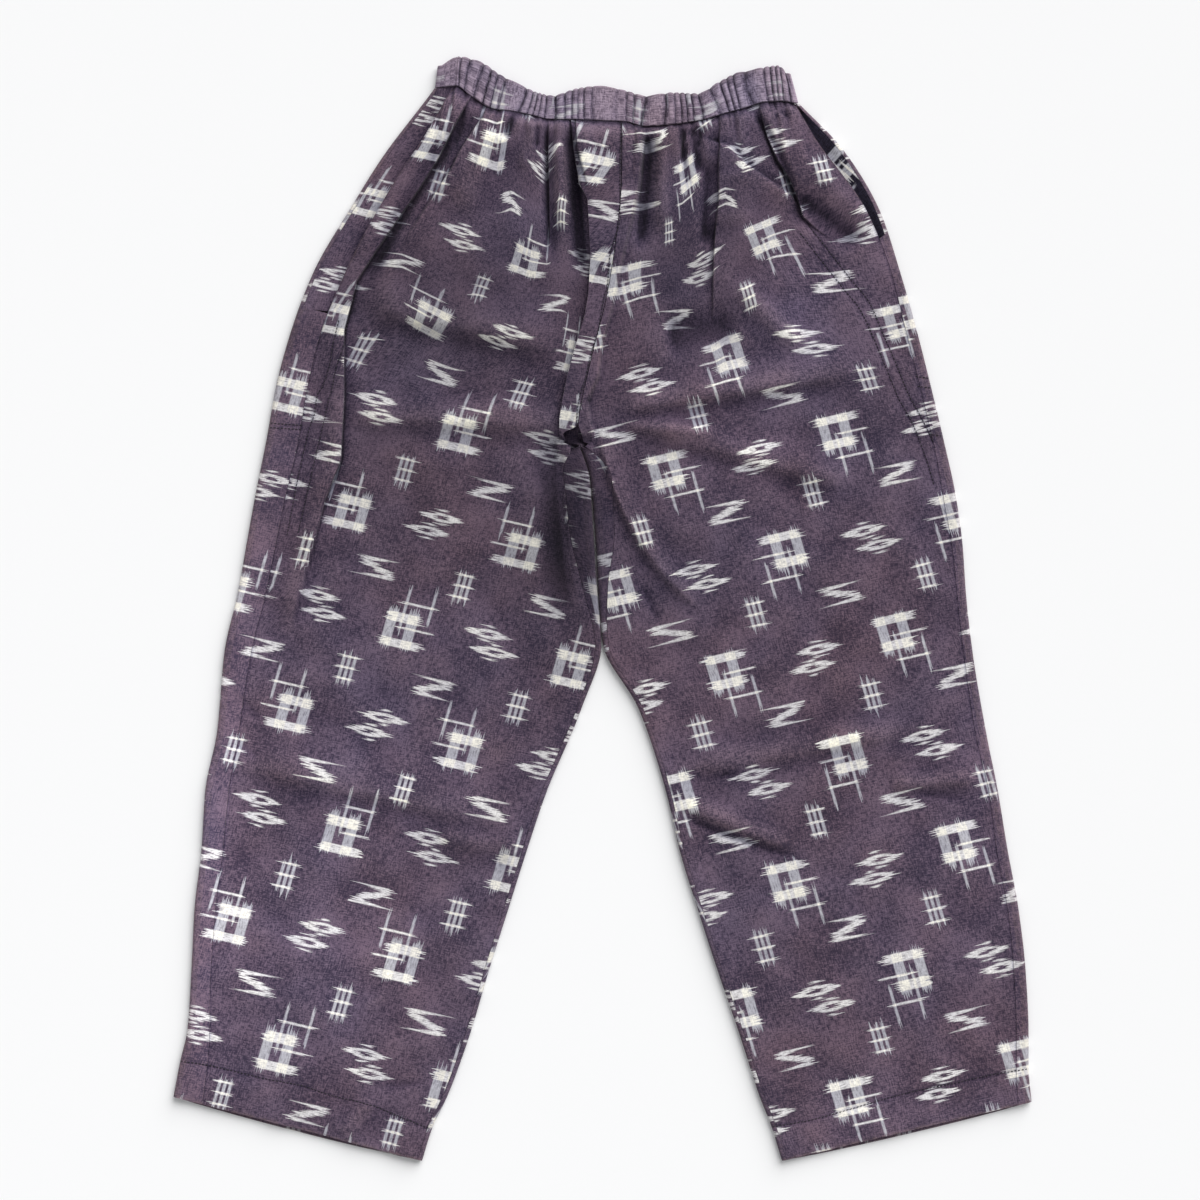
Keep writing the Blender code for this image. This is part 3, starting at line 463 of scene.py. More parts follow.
def from_sewing(side, x, y):
    """Distance of plan points from the nearest sewn line of the leg, and the run along that line there."""
    nearest = np.full_like(x, 1.0)
    run = np.zeros_like(x)
    for leg, line in SEWING.values():
        if leg != side:
            continue
        line_x, line_y = np.array(line, dtype=float).T * MM
        start = 0.0
        for ax, ay, bx, by in zip(line_x[:-1], line_y[:-1], line_x[1:], line_y[1:]):
            length = np.hypot(bx - ax, by - ay)
            share = np.clip(((x - ax) * (bx - ax) + (y - ay) * (by - ay)) / length ** 2, 0.0, 1.0)
            apart = np.hypot(x - ax - share * (bx - ax), y - ay - share * (by - ay))
            run = np.where(apart < nearest, start + share * length, run)
            nearest = np.minimum(apart, nearest)
            start += length
    return nearest, run


def sewn_groove(side, x, y):
    """A narrow trough along each sewn line, drawn in deeper every centimetre or so."""
    apart, run = from_sewing(side, x, y)
    drawn = 0.75 + 0.25 * sine(run, 10.3) + 0.2 * sine(run, 6.1, 1.0)
    return -0.80 * MM * drawn * bell(apart, 1.5 * MM) + 0.25 * MM * drawn * bell(apart, 5 * MM)


def sunk(height):
    """How far each point lies below the cloth round it: a soft mean of its neighbours less itself."""
    mean = height
    for _ in range(SOFTENED):
        wide = np.pad(mean, 1, mode="edge")
        mean = 0.5 * mean + 0.125 * (wide[2:, 1:-1] + wide[:-2, 1:-1] + wide[1:-1, 2:] + wide[1:-1, :-2])
    return mean - height


def cloth_point(side, t, from_outer):
    """A point of the upper layer's face: settled cloth, rolled edges, folds, pleat, gathers and puckers.

    The fourth value is how far below level the cloth counts for its shading.
    """
    leg = leg_at(side, t)
    x, y, length = on_row(leg, side, t, from_outer)
    from_inner = length - from_outer
    curl = crotch_curl(t)
    outer_lift = (2 * OUTER_ROLL - leg["settle"]) * bell(from_outer, EDGE_SPREAD)
    inner_lift = (2 * leg["inner_roll"] - leg["settle"]) * bell(from_inner, EDGE_SPREAD) * curl
    outer_taper = smoothstep((from_outer - OUTER_ROLL) / FOLD_TAPER)
    inner_taper = smoothstep((from_inner - leg["inner_roll"]) / FOLD_TAPER)
    taper = outer_taper * (1.0 + (inner_taper - 1.0) * curl)
    at_band = 0.35 + 0.65 * smoothstep(t / 0.3)     # folds are held down where they are sewn
    folds = fold_shape(x, y)
    pleat, pleat_lean = pleat_shape(x, y)
    edges, edge_lean, shade = edge_shape(side, x, y)
    small = rumple(x, y) + waist_gathers(x, y, t)
    height = leg["settle"] + outer_lift + inner_lift + ((folds + pleat + edges) * at_band + small) * taper
    height += seam_pucker(t, from_outer, length, leg) * smoothstep(from_outer / (9 * MM))
    height += sewn_groove(side, x, y)
    height *= 0.62 + 0.38 * smoothstep(t / 0.14)    # and the cloth runs in under the band
    height = LEAST_HEIGHT + np.logaddexp(0.0, (height - LEAST_HEIGHT) / LEAST_EASE) * LEAST_EASE
    troughs = (np.minimum(folds, 0.0) - SHADE_UNDER * shade) * taper
    return x + (pleat_lean + edge_lean) * taper, y, height, troughs


def place_on_leg(side, x, y):
    """Station and distance from the outer edge of a plan point, by halving the stations."""
    low = np.zeros_like(x)
    high = np.full_like(x, HEM)
    for _ in range(HALVINGS):
        middle = 0.5 * (low + high)
        leg = leg_at(side, middle)
        row_x, row_y, length = on_row(leg, side, middle, 0.0 * x)
        across_x = (leg["inner_x"] - leg["outer_x"]) / length
        across_y = (leg["inner_y"] - leg["outer_y"]) / length
        way_in = (x - row_x) * across_x + (y - row_y) * across_y
        below = y < on_row(leg, side, middle, way_in)[1]
        low = np.where(below, middle, low)
        high = np.where(below, high, middle)
    return middle, way_in


# Kasuri.  The chart's columns run down a leg, and u and v are millimetres across and down it.
COLUMN = 72.75               # width of a column
REPEAT = 178.0               # length of the repeat in a column
CHART_UNIT = 0.01            # of the UV map, for a millimetre
# A leg's chart: a place where a hash motif sits, the ways of u and v in degrees, and whether it is turned
PATTERN_LINES = {
    "left": (-166.7, -149.2, -12.9, -16.3, True),
    "right": (81.7, -103.3, 12.9, 16.3, False),
}


def chart_place(side, x, y, moved=None):
    """Chart coordinates of plan points in millimetres, with their motifs moved aside and down by moved."""
    origin_x, origin_y, across, down, turned = PATTERN_LINES[side]
    aside, lower = drawn_aside(side, x, y) if moved is None else moved
    a = np.radians(across)
    d = np.radians(down)
    u_way = np.array([np.cos(a), np.sin(a)])
    v_way = np.array([np.sin(d), -np.cos(d)])
    turn = np.linalg.inv(np.array([u_way, v_way]).T)
    off_x = (x - aside) / MM - origin_x
    off_y = (y + lower) / MM - origin_y
    u = turn[0, 0] * off_x + turn[0, 1] * off_y
    v = turn[1, 0] * off_x + turn[1, 1] * off_y
    u, v = settle_chart(u, v)
    if turned:
        u = COLUMN - u
        v = 0.5 * REPEAT - v
    return u, v


# How far the gathers have drawn the motifs aside and down, at the band and a hand's width below it.
DRAWN_COLUMNS = ("x", "aside_high", "down_high", "aside_low", "down_low")
DRAWN = {
    "left": ((-200, 22, 4, 14, -4), (-167, 28, 6, 24, -7), (-148, 31, 8, 19, -2),
             (-122, 31, 10, 22, 6), (-104, 30, 14, 17, 1), (-88, 29, 15, 15, 3),
             (-76, 21, 7, 13, 5), (-60, 9, 12, 13, 6), (-47, 0, 18, 13.5, 2),
             (-36, -10, 0, 12, -1), (-15, -24, 0, -12, -6), (16, -34, -4, -12, -6)),
    "right": ((-20, 20, 2, 8, 0), (16, 26, 3, 9, 0), (31, 30, 3, 10, -2),
              (47, 36, 3, 10, -2), (66, 12, 4, 4, 2), (76, 2, 0, 1, 5),
              (92, -3, -8, -1, 5), (102, -4, -10, -3, 0), (116, -16, 0, -4, 0),
              (142, -19, -4, -12, -5), (155, -22, -6, -10, -2), (190, -10, 0, -7, 3),
              (230, 0, 0, 0, 6)),
}
NOT_DRAWN = (0.0, 0.0)
FLAP_FOOT = -17 * MM         # the pocket flap ends at this height
# The same on cloth that lies beyond a fold: on the pocket flap, on the centre pleat, on the right roll
# and on the side pieces.  On the flap it jumps at the crosswise seam.
BEYOND_COLUMNS = ("y", "aside", "down")
BEYOND = {
    "flap": ((391.7, -19.2, 11.7), (325, -35, -6.7), (250, -62.5, -2), (156.5, -62.5, -2),
             (154, 12, 2), (20, 12, 2), (-17, 0, 0)),
    "pleat": ((370.8, -31, 0), (333, -42, -17.5), (287.5, -63, -18), (205, -63, -18),
              (168, -45, -36)),
    "roll": ((395, 8, -16), (340, 6, -15), (312, -7, 1)),
    "side": ((415, 45.8, 3.3), (344, 25, -10), (272.5, 9, -13)),
}


def beyond(name, y):
    """How far a folded-over stretch of cloth carries its motifs aside and down at heights y."""
    rows = table(BEYOND_COLUMNS, BEYOND[name])
    return at_height(rows, "aside", y), at_height(rows, "down", y)


def drawn_aside(side, x, y):
    """How far the motifs have moved aside and down at plan points, blended with height and past the folds."""
    rows = table(DRAWN_COLUMNS, DRAWN[side])
    up = smoothstep((y - 255 * MM) / (90 * MM))
    fade = smoothstep((y - 165 * MM) / (85 * MM))
    past_fold = {"left": ("left pocket flap", "flap"), "right": ("right pocket roll", "roll")}
    fold, stretch = past_fold[side]
    ends = (y > FLAP_FOOT) if side == "left" else smoothstep((y - 300 * MM) / (20 * MM))
    beside = x < edge_line(fold, y)[0] if side == "left" else x > edge_line(fold, y)[0]
    on_pleat = (side == "left") * (x > at_height(PLEAT_LINE, "left", y)) * (y > 150 * MM)
    moved = []
    for way, there, on in zip(("aside", "down"), beyond(stretch, y), beyond("pleat", y)):
        low, high = (np.interp(x, rows["x"], rows[f"{way}_{place}"]) for place in ("low", "high"))
        here = np.where(on_pleat, on, (low * (1.0 - up) + high * up) * fade)
        moved.append(here + (there - here) * (beside * ends))
    return moved


def settle_chart(u, v):
    """The woven motifs lie a little lower at the hips and the hems than an even chart would put them."""
    down = (-470.0, -366.0, -267.0, -200.0, 0.0, 178.0, 270.0)
    return u, v - np.interp(v, down, (33.0, 13.0, 8.0, 3.0, 0.0, 7.0, 15.0))


def new_object(name, data):
    """Make an object and link it into the scene."""
    made = bpy.data.objects.new(name, data)
    bpy.context.scene.collection.objects.link(made)
    return made


def make_mesh(name, points, faces, material, smooth_angle=50.0):
    """Put points and faces into a mesh, smooth but for edges sharper than an angle in degrees."""
    mesh = bpy.data.meshes.new(name)
    mesh.from_pydata(points.tolist(), [], faces.tolist())
    body = new_object(name, mesh)
    mesh.materials.append(material)
    mesh.shade_smooth()
    if smooth_angle:
        mesh.set_sharp_from_angle(angle=np.radians(smooth_angle))
    return body


def grid(x, y, z):
    """Points from their three coordinates."""
    return np.stack([x, y, z + 0.0 * x], axis=-1)


def twice(values):
    """The same values for the face and for the grid under it."""
    return np.concatenate([values.ravel(), values.ravel()])


def mark(body, u, v, **values):
    """Store the chart coordinates as a UV map, and each named number at each point for the materials."""
    mesh = body.data
    layer = mesh.uv_layers.new(name="chart")
    corners = np.zeros(len(mesh.loops), dtype=np.int32)
    mesh.loops.foreach_get("vertex_index", corners)
    both = np.stack([twice(u), twice(v + 0.0 * u)], axis=-1)[corners] * CHART_UNIT
    layer.data.foreach_set("uv", both.astype(np.float32).ravel())
    for name, value in values.items():
        attribute = mesh.attributes.new(name, "FLOAT", "POINT")
        attribute.data.foreach_set("value", twice(value + 0.0 * u).astype(np.float32))


def squares(*corners):
    """Faces from their four corners, each a grid or a row of point numbers."""
    return np.stack(corners, axis=-1).reshape(-1, 4)


def outwards(points, quads):
    """The quads, all turned round if the volume inside them, as seen from the origin, counts below zero."""
    a, b, c, d = (points[quads[:, i]] for i in range(4))
    volume = np.einsum("ij,ij->", a, np.cross(b, c)) + np.einsum("ij,ij->", a, np.cross(c, d))
    return quads[:, ::-1] if volume < 0 else quads


def shell(name, face, under, material):
    """A face grid and the grid under it, joined round the rim, with its faces turned outwards."""
    rows, columns = face.shape[:2]
    count = rows * columns
    points = np.concatenate([face.reshape(-1, 3), under.reshape(-1, 3)])
    index = np.arange(count).reshape(rows, columns)
    quads = squares(index[:-1, :-1], index[1:, :-1], index[1:, 1:], index[:-1, 1:])
    rim = np.concatenate([index[:-1, 0], index[-1, :-1], index[:0:-1, -1], index[0, :0:-1]])
    after = np.roll(rim, -1)
    walls = squares(after, rim, rim + count, after + count)
    faces = np.concatenate([quads, quads[:, ::-1] + count, walls])
    return make_mesh(name, points, outwards(points, faces), material)


ROWS = 300                   # of points down a leg
EDGE_POINTS = 13             # round a rolled edge


def rows_down():
    """Stations of the rows of points: closer above the knee, where the folds are."""
    s = np.linspace(0.0, 1.0, ROWS)
    return (HEM * (0.72 * s + 0.28 * s * s))[:, None]


def inner_profile(side, t):
    """The back panel's inner edge, flat or rolled up and over.

    Gives the leg, the rows' length, how far in and how high the face and the inner side run, and the way
    along it.
    """
    leg = leg_at(side, t)
    length = on_row(leg, side, t, 0.0)[2]
    strip = np.maximum(leg["inner_strip"] - leg["inner_roll"], 0.4 * MM)
    bend = np.pi * leg["inner_roll"]
    share = np.linspace(0.0, 1.0, EDGE_POINTS)[None, :]
    s = np.concatenate([bend * share, bend + strip * np.linspace(0.0, 1.0, 9)[None, 1:]], axis=1)
    angle = np.pi * crotch_curl(t) * np.clip(s / bend, 0.0, 1.0)
    steps = np.diff(s, axis=1)
    middle = 0.5 * (angle[:, 1:] + angle[:, :-1])
    start = np.zeros_like(t)
    out = np.concatenate([start, np.cumsum(steps * np.cos(middle), axis=1)], axis=1)
    up = np.concatenate([start, np.cumsum(steps * np.sin(middle), axis=1)], axis=1)
    inside_out = out - CLOTH * np.sin(angle)
    inside_up = up + CLOTH * np.cos(angle)
    bend_at = length - 0.05 * MM - np.maximum(out.max(axis=1), inside_out.max(axis=1))[:, None]
    return leg, length, bend_at + out, up, bend_at + inside_out, inside_up, s


def front_limit(side, t):
    """How far in from the outer edge the front panel reaches: to the rolled edge of the back panel."""
    _, length, at, up, inside_at, inside_up, _ = inner_profile(side, t)
    risen = np.where(up > 3 * MM, at, length).min(axis=1)
    risen_inside = np.where(inside_up > 3 * MM, inside_at, length).min(axis=1)
    near_crotch = smoothstep((t - CROTCH + 0.10) / 0.22)
    opening = OPENING[side] * near_crotch * smoothstep((CURL_START + 0.26 - t) / 0.22)
    return np.minimum(risen, risen_inside)[:, None] - SEAM_GAP - opening


PALEST_DARKEST = (-0.4, 0.9)     # painted highlight on crests and painted shade in troughs

# The front panel's columns of points run along these folds, with so many columns between them.
GRID = {
    "left": (("left pocket flap", "left pocket bank", "left gather step", "pleat left"),
             (20, 17, 40, 28, 56)),
    "right": (("right pocket roll", "right hip step", "pleat right"), (36, 40, 48, 37)),
}
LEAST_GAP = 0.02             # of the row, between two of those folds
CLOSE_UP = 0.75              # the columns stand four times as close at a fold
FOLDS_END = 6.5              # station past which the columns no longer follow the folds


def fold_on_row(side, t, line, start):
    """How far in from the outer edge a fold crosses the rows at stations t, by going back and forth."""
    leg = leg_at(side, t)
    at = start
    for _ in range(8):
        _, y, length = on_row(leg, side, t, at)
        if line.startswith("pleat"):
            x = at_height(PLEAT_LINE, line.removeprefix("pleat "), y)
        else:
            x = edge_line(line, y)[0]
        at = 0.4 * at + 0.6 * (x - leg["outer_x"]) / (leg["inner_x"] - leg["outer_x"]) * length
    return at


def panel_columns(side, t, outer, inner):
    """Columns across the rows: between two folds they close up towards both."""
    names, counts = GRID[side]
    width = inner - outer
    shares = [0.0 * t]
    for order, name in enumerate(names):
        start = outer + width * (order + 1.0) / (len(names) + 1.0)
        share = (fold_on_row(side, t, name, start) - outer) / width
        resting = share[np.argmin(np.abs(t - FOLDS_END))]
        away = smoothstep((t - FOLDS_END + 0.5) / 3.0)
        share = share * (1.0 - away) + resting * away
        room = 1.0 - LEAST_GAP * (len(names) - order)
        shares.append(np.clip(share, shares[-1] + LEAST_GAP, room))
    shares.append(0.0 * t + 1.0)
    parts = []
    for low, high, count in zip(shares[:-1], shares[1:], counts):
        f = np.linspace(0.0, 1.0, count + 1)[None, :-1]
        f = f - CLOSE_UP / (2 * np.pi) * np.sin(2 * np.pi * f)
        parts.append(low + (high - low) * f)
    parts.append(shares[-1])
    return outer + width * np.concatenate(parts, axis=1)


def front_panel(side, material):
    """Front leg panel from the side seam to the centre front, and to the inseam below the crotch."""
    t = rows_down()
    leg = leg_at(side, t)
    outer = leg["outer_strip"] + SEAM_GAP
    from_outer = panel_columns(side, t, outer, front_limit(side, t))
    plan_x, plan_y, _ = on_row(leg, side, t, from_outer)
    x, y, z, troughs = cloth_point(side, t + 0.0 * from_outer, from_outer)
    thick = CLOTH * (1.0 + HEM_EXTRA * smoothstep((t - HEM_STITCH) / 0.1))
    body = shell(f"front_cloth_{side}", grid(x, y, z), grid(x, y, z - thick), material)
    near_seam = bell(from_outer - outer, 1.3 * MM)
    near_sewing = bell(from_sewing(side, plan_x, plan_y)[0], 1.3 * MM)
    near_band = bell(t * STATION, 1.5 * MM)
    # Painted shade in the troughs, at the foot of folds and along the seams and the band; painted highlight
    # on crests
    hollow = np.clip(sunk(z) / (2.4 * MM), *PALEST_DARKEST) + np.clip(-troughs / (6 * MM), 0.0, 1.0)
    hollow += 0.7 * near_seam + 0.5 * near_sewing + 0.8 * near_band
    u, v = chart_place(side, plan_x, plan_y)
    mark(body, u, v, wear=np.clip((t < POCKET_END[side]) * 0.5 * near_seam + hem_rub(t), 0.0, 1.0),
         hollow=np.clip(hollow, PALEST_DARKEST[0], 1.45), fade=painted_light_and_wear(x, y))
    return body


def hem_rub(t):
    """Wear along the edge of the hem."""
    return bell((HEM - t) * HEM_STATION, 1.8 * MM)


# Soft patches, partly wear and partly painted light and painted shade of the broad folds, that make the
# cloth paler above zero and darker below: middle, half width and half height, and by how much.
PAINTED_LIGHT_AND_WEAR_COLUMNS = ("x", "y", "wide", "high", "paler")
PAINTED_LIGHT_AND_WEAR = (
    (-330, -150, 40, 260, 0.46),
    (-185, 250, 60, 60, -0.14),
    (-110, 235, 60, 60, -0.16),
    (-169, 108, 60, 70, -0.18),
    (-235, -275, 70, 70, 0.20),
    (166, 262, 45, 45, 0.26),
    (164, -108, 60, 60, -0.02),
    (247, -417, 90, 40, 0.14),
    (312, -125, 25, 220, 0.14),
    (-240, -260, 90, 170, 0.16),
    (-180, -140, 70, 40, 0.12),
    (130, 130, 60, 60, 0.12),
    (250, -240, 60, 150, 0.06),
    (-30, 60, 45, 110, -0.34),
    (-120, 250, 90, 60, -0.12),
    (80, 265, 70, 60, -0.16),
    (-70, 50, 60, 60, -0.12),
    (60, 30, 40, 70, -0.12),
)
PAINTED_LIGHT_AND_WEAR_PLACE = table(PAINTED_LIGHT_AND_WEAR_COLUMNS, PAINTED_LIGHT_AND_WEAR)


def painted_light_and_wear(x, y):
    """How much paler the cloth is: soft round patches of wear and of painted light and shade, each paler *
    exp(-distance^2).
    """
    total = 0.0 * x - 0.04
    for middle_x, middle_y, wide, high, paler in zip(*PAINTED_LIGHT_AND_WEAR_PLACE.values()):
        total += paler / MM * bell(x - middle_x, wide) * bell(y - middle_y, high)
    return total


def back_panel(side, material):
    """Back leg panel: flat underneath, rolled up at the outer edge and at the inner leg edge."""
    t = rows_down()
    leg, length, roll_at, roll_up, roll_in_at, roll_in_up, roll_s = inner_profile(side, t)
    curl = crotch_curl(t)
    strip = POCKET_RIM + (leg["outer_strip"] - POCKET_RIM) * smoothstep((t - POCKET_END[side]) / 0.06)
    strip_at = strip + (OUTER_ROLL - strip) * np.linspace(0.0, 1.0, 15)[None, :-1]
    strip_up = cloth_point(side, t + 0.0 * strip_at, strip_at)[2]
    angle = np.linspace(0.0, np.pi, EDGE_POINTS)[None, :] + 0.0 * t
    arc_at = OUTER_ROLL * (1.0 - np.sin(angle))
    arc_up = OUTER_ROLL * (1.0 + np.cos(angle))
    arc_in_at = OUTER_ROLL - (OUTER_ROLL - CLOTH) * np.sin(angle)
    arc_in_up = OUTER_ROLL + (OUTER_ROLL - CLOTH) * np.cos(angle)
    flat_at = OUTER_ROLL + (roll_at[:, :1] - OUTER_ROLL) * np.linspace(0.0, 1.0, 14)[None, 1:-1]
    level = np.zeros_like(flat_at)
    settled = cloth_point(side, t + 0.0 * roll_at, roll_at)[2] - 2 * leg["inner_roll"]
    lift = settled * np.clip(roll_up / leg["inner_roll"] - 1.0, 0.0, 1.0) * curl
    at = np.concatenate([strip_at, arc_at, flat_at, roll_at], axis=1)
    up = np.concatenate([strip_up, arc_up, level, roll_up + lift], axis=1)
    in_at = np.concatenate([strip_at, arc_in_at, flat_at, roll_in_at], axis=1)
    in_up = np.concatenate([strip_up - CLOTH, arc_in_up, level + CLOTH, roll_in_up + lift], axis=1)
    drop = BACK_HEM_DROP * smoothstep((t - HEM_STITCH) / (HEM - HEM_STITCH))
    lower = drop * np.sqrt(np.sin(np.pi * np.clip(at / length, 0.0, 1.0))) * (up < OUTER_ROLL)
    x, y, _ = on_row(leg, side, t, at)
    in_x, in_y, _ = on_row(leg, side, t, in_at)
    body = shell(f"back_cloth_{side}", grid(x, y - lower, up), grid(in_x, in_y - lower, in_up), material)
    # The chart runs on over the rolled edges as if they were laid out flat
    turned = OUTER_ROLL - np.pi * OUTER_ROLL
    laid_out = np.concatenate([strip_at, OUTER_ROLL - OUTER_ROLL * angle, turned - (flat_at - OUTER_ROLL),
                               turned - (roll_at[:, :1] - OUTER_ROLL) - roll_s], axis=1)
    plan_x, plan_y, _ = on_row(leg, side, t, laid_out)
    outer_wear = bell(up - 1.2 * OUTER_ROLL, 2.6 * MM) * (at < 6 * MM)
    inner_wear = 0.3 * bell(up - 1.2 * leg["inner_roll"], 2.8 * MM) * (at > length - 7 * MM) * curl
    # Painted shade: the cloth seen in the hole at the crotch and the inner strip below the crotch are
    # darkened
    inside = (at > length - 60 * MM) * (up < leg["inner_roll"]) * smoothstep(1.0 - np.abs(t - 5.2) / 0.5)
    crotch_strip_shade = (at > length - 30 * MM) * smoothstep((t - CROTCH) / 0.2) * smoothstep((10.0 - t) / 1.5)
    u, v = chart_place(side, plan_x, plan_y, NOT_DRAWN)
    # Paler within 60 mm of the outer edge: partly wear, partly painted highlight
    mark(body, u, v, wear=np.clip(outer_wear + inner_wear + hem_rub(t), 0.0, 1.0),
         hollow=0.35 * inside + 0.55 * crotch_strip_shade, fade=painted_light_and_wear(x, y) + 0.05 * (at < 60 * MM))
    return body


def pocket_side(side, material):
    """Side piece behind the slanted pocket edge: from the rolled outer edge to under the front panel."""
    t = np.linspace(POCKET_START[side], POCKET_END[side] + 0.03, 120)[:, None]
    leg = leg_at(side, t)
    outer = POCKET_RIM + SEAM_GAP
    inner = leg["outer_strip"] + TUCK_UNDER
    from_outer = outer + (inner - outer) * np.linspace(0.0, 1.0, 30)[None, :]
    x, y, _ = on_row(leg, side, t, from_outer)
    reach = np.clip((from_outer - outer) / np.maximum(leg["outer_strip"] - outer, 1 * MM), 0.0, 1.0)
    z = 2 * OUTER_ROLL + (POCKET_SIDE_TOP - 2 * OUTER_ROLL) * smoothstep(reach * 1.15)
    body = shell(f"pocket_cloth_{side}", grid(x, y, z), grid(x, y, z - CLOTH), material)
    u, v = pocket_chart(side, x, y)
    # Painted shade: darker towards the edge that runs in under the front panel
    mark(body, u, v, wear=0.0, hollow=0.5 * smoothstep(reach * 2 - 1), fade=0.0)
    return body


def pocket_chart(side, x, y):
    """The chart on a side piece: on the right its cloth is cut across the corner and lies turned."""
    if side == "left":
        return chart_place(side, x, y, beyond("side", y))
    turn = np.radians(-42.0)
    off_x = x / MM - 198.0
    off_y = 367.0 - y / MM
    u = off_x * np.cos(turn) - off_y * np.sin(turn) + 36.6
    v = off_x * np.sin(turn) + off_y * np.cos(turn) - 40.0
    return u, v


def band_half(layer, material):
    """Half of the waistband: a gathered casing with a crimped top edge, rolled over at its far side."""
    last = len(BAND) - 1.0
    turn = np.linspace(0.0, np.pi, 16)
    rolled = len(turn) - 1
    if layer == "front":
        end_at = last - 0.25
        along = np.linspace(BAND_SIDE_SEAM + 0.01, end_at, 800)
        back = np.linspace(last - 0.3, last - 0.7, 10)
        roll = np.concatenate([np.zeros(len(along)), turn[1:], np.full(len(back), np.pi)])
        side = 1.0
    else:
        end_at = 0.2
        along = np.linspace(last - 0.72, end_at, 420)
        back = np.linspace(0.25, BAND_SIDE_SEAM - 0.01, 20)
        roll = np.concatenate([np.full(len(along), np.pi), turn[::-1][1:], np.zeros(len(back))])
        side = -1.0
    place = np.concatenate([along, np.full(rolled, end_at), back])
    end = np.concatenate([np.zeros(len(along)), np.full(rolled, side), np.zeros(len(back))])
    line = {name: through(values, place) for name, values in BAND_LINE.items()}
    seam = np.stack([line["seam_x"], line["seam_y"]], axis=-1)
    top = np.stack([line["top_x"], line["top_y"]], axis=-1)
    out = end * BAND_ROLL * np.sin(roll)
    middle = BAND_ROLL + 0.5 * BAND_WALL + BAND_ROLL * np.cos(roll)
    run = (place - BAND_SIDE_SEAM) / (last - BAND_SIDE_SEAM)
    phase = gather_phase(run)
    plain = bell(line["seam_x"] - 3 * MM, 16 * MM)
    size = 0.75 + 0.35 * np.sin(0.37 * phase) * np.sin(0.83 * phase + 1.0)
    shown = np.where(layer == "front", 1.0 - 0.8 * plain, 0.12) * (np.abs(np.cos(roll)) > 0.9)
    # Round the casing: along the lower side, over the top edge, back over the face and round the seam
    turn_top = np.linspace(-0.5 * np.pi, 0.5 * np.pi, 9)[1:-1]
    share = np.concatenate([np.linspace(0.04, 0.96, 8), 0.975 + 0.025 * np.cos(turn_top),
                            np.linspace(0.96, 0.04, 22), 0.025 - 0.025 * np.cos(turn_top)])
    half = np.concatenate([np.full(8, -1.0), np.sin(turn_top), np.ones(22), -np.sin(turn_top)])
    felt = smoothstep((half + 0.4) / 1.2)
    drift = phase[:, None] + 0.5 * np.sin(2.3 * share[None, :] + 1.7 * run[:, None] * 9.0)
    drop = np.abs(np.sin(drift)) ** 0.55 - 1.0
    swell = 1.0 - 0.28 * np.cos(2 * np.pi * (share[None, :] - 0.5) * 2.0)
    depth = GATHER_DEPTH * (size * shown)[:, None] * felt[None, :] * swell
    offset = half[None, :] * 0.5 * BAND_WALL + drop * depth
    frill = 1.3 * MM * (drop + 0.5) * shown[:, None] * smoothstep((share[None, :] - 0.75) / 0.25)
    plan = seam[:, None, :] * (1.0 - share[None, :, None]) + top[:, None, :] * share[None, :, None]
    points = np.zeros((len(place), len(share), 3))
    points[..., 0] = plan[..., 0] + out[:, None] + (end * np.sin(roll))[:, None] * offset
    points[..., 1] = plan[..., 1] + frill
    points[..., 2] = middle[:, None] + np.cos(roll)[:, None] * offset
    body = casing(f"waistband_cloth_{layer}", points, material)
    cloth_run = BAND_FULLNESS * (line["seam_x"] / MM + 88.3)
    u = cloth_run[:, None] + 1.6 * np.sin(2 * drift)
    # Painted shade in the creases of the gathers, stronger where the gathers are deeper
    strength = ((0.45 + 0.55 * size) * shown)[:, None]
    mark(body, u, -8.0 - (share[None, :] - 0.5) * BAND_CHART, fade=0.0,
         wear=0.8 * smoothstep((share[None, :] - 0.86) / 0.12),
         hollow=np.clip(-drop * 1.8 - 0.25, 0.0, 1.1) * strength * felt[None, :])
    return body


def casing(name, points, material):
    """A hollow tube of cloth along a path of cross-sections: the face, the same moved in, and two rims."""
    rows, around = points.shape[:2]
    index = np.arange(rows * around).reshape(rows, around)
    ahead = np.roll(index, -1, axis=1)
    flat = points.reshape(-1, 3)
    quads = outwards(flat, squares(index[:-1], ahead[:-1], ahead[1:], index[1:]))
    before = np.roll(points, 1, axis=1) - np.roll(points, -1, axis=1)
    path = np.gradient(points.mean(axis=1), axis=0)[:, None, :]
    inward = np.cross(before, path + 0.0 * points)
    inward /= np.linalg.norm(inward, axis=-1)[..., None]
    to_middle = points.mean(axis=1)[:, None, :] - points
    inward *= np.where(np.einsum("ijk,ijk->ij", inward, to_middle) < 0, -1.0, 1.0)[..., None]
    inside = points + BAND_CLOTH * inward
    count = rows * around
    first = squares(index[0], index[0] + count, ahead[0] + count, ahead[0])
    last = squares(index[-1], ahead[-1], ahead[-1] + count, index[-1] + count)
    if quads[0, 0] != index[0, 0] or quads[0, 1] != ahead[0, 0]:
        first = first[:, ::-1]
        last = last[:, ::-1]
    faces = np.concatenate([quads, quads[:, ::-1] + count, first, last])
    return make_mesh(name, np.concatenate([flat, inside.reshape(-1, 3)]), faces, material)


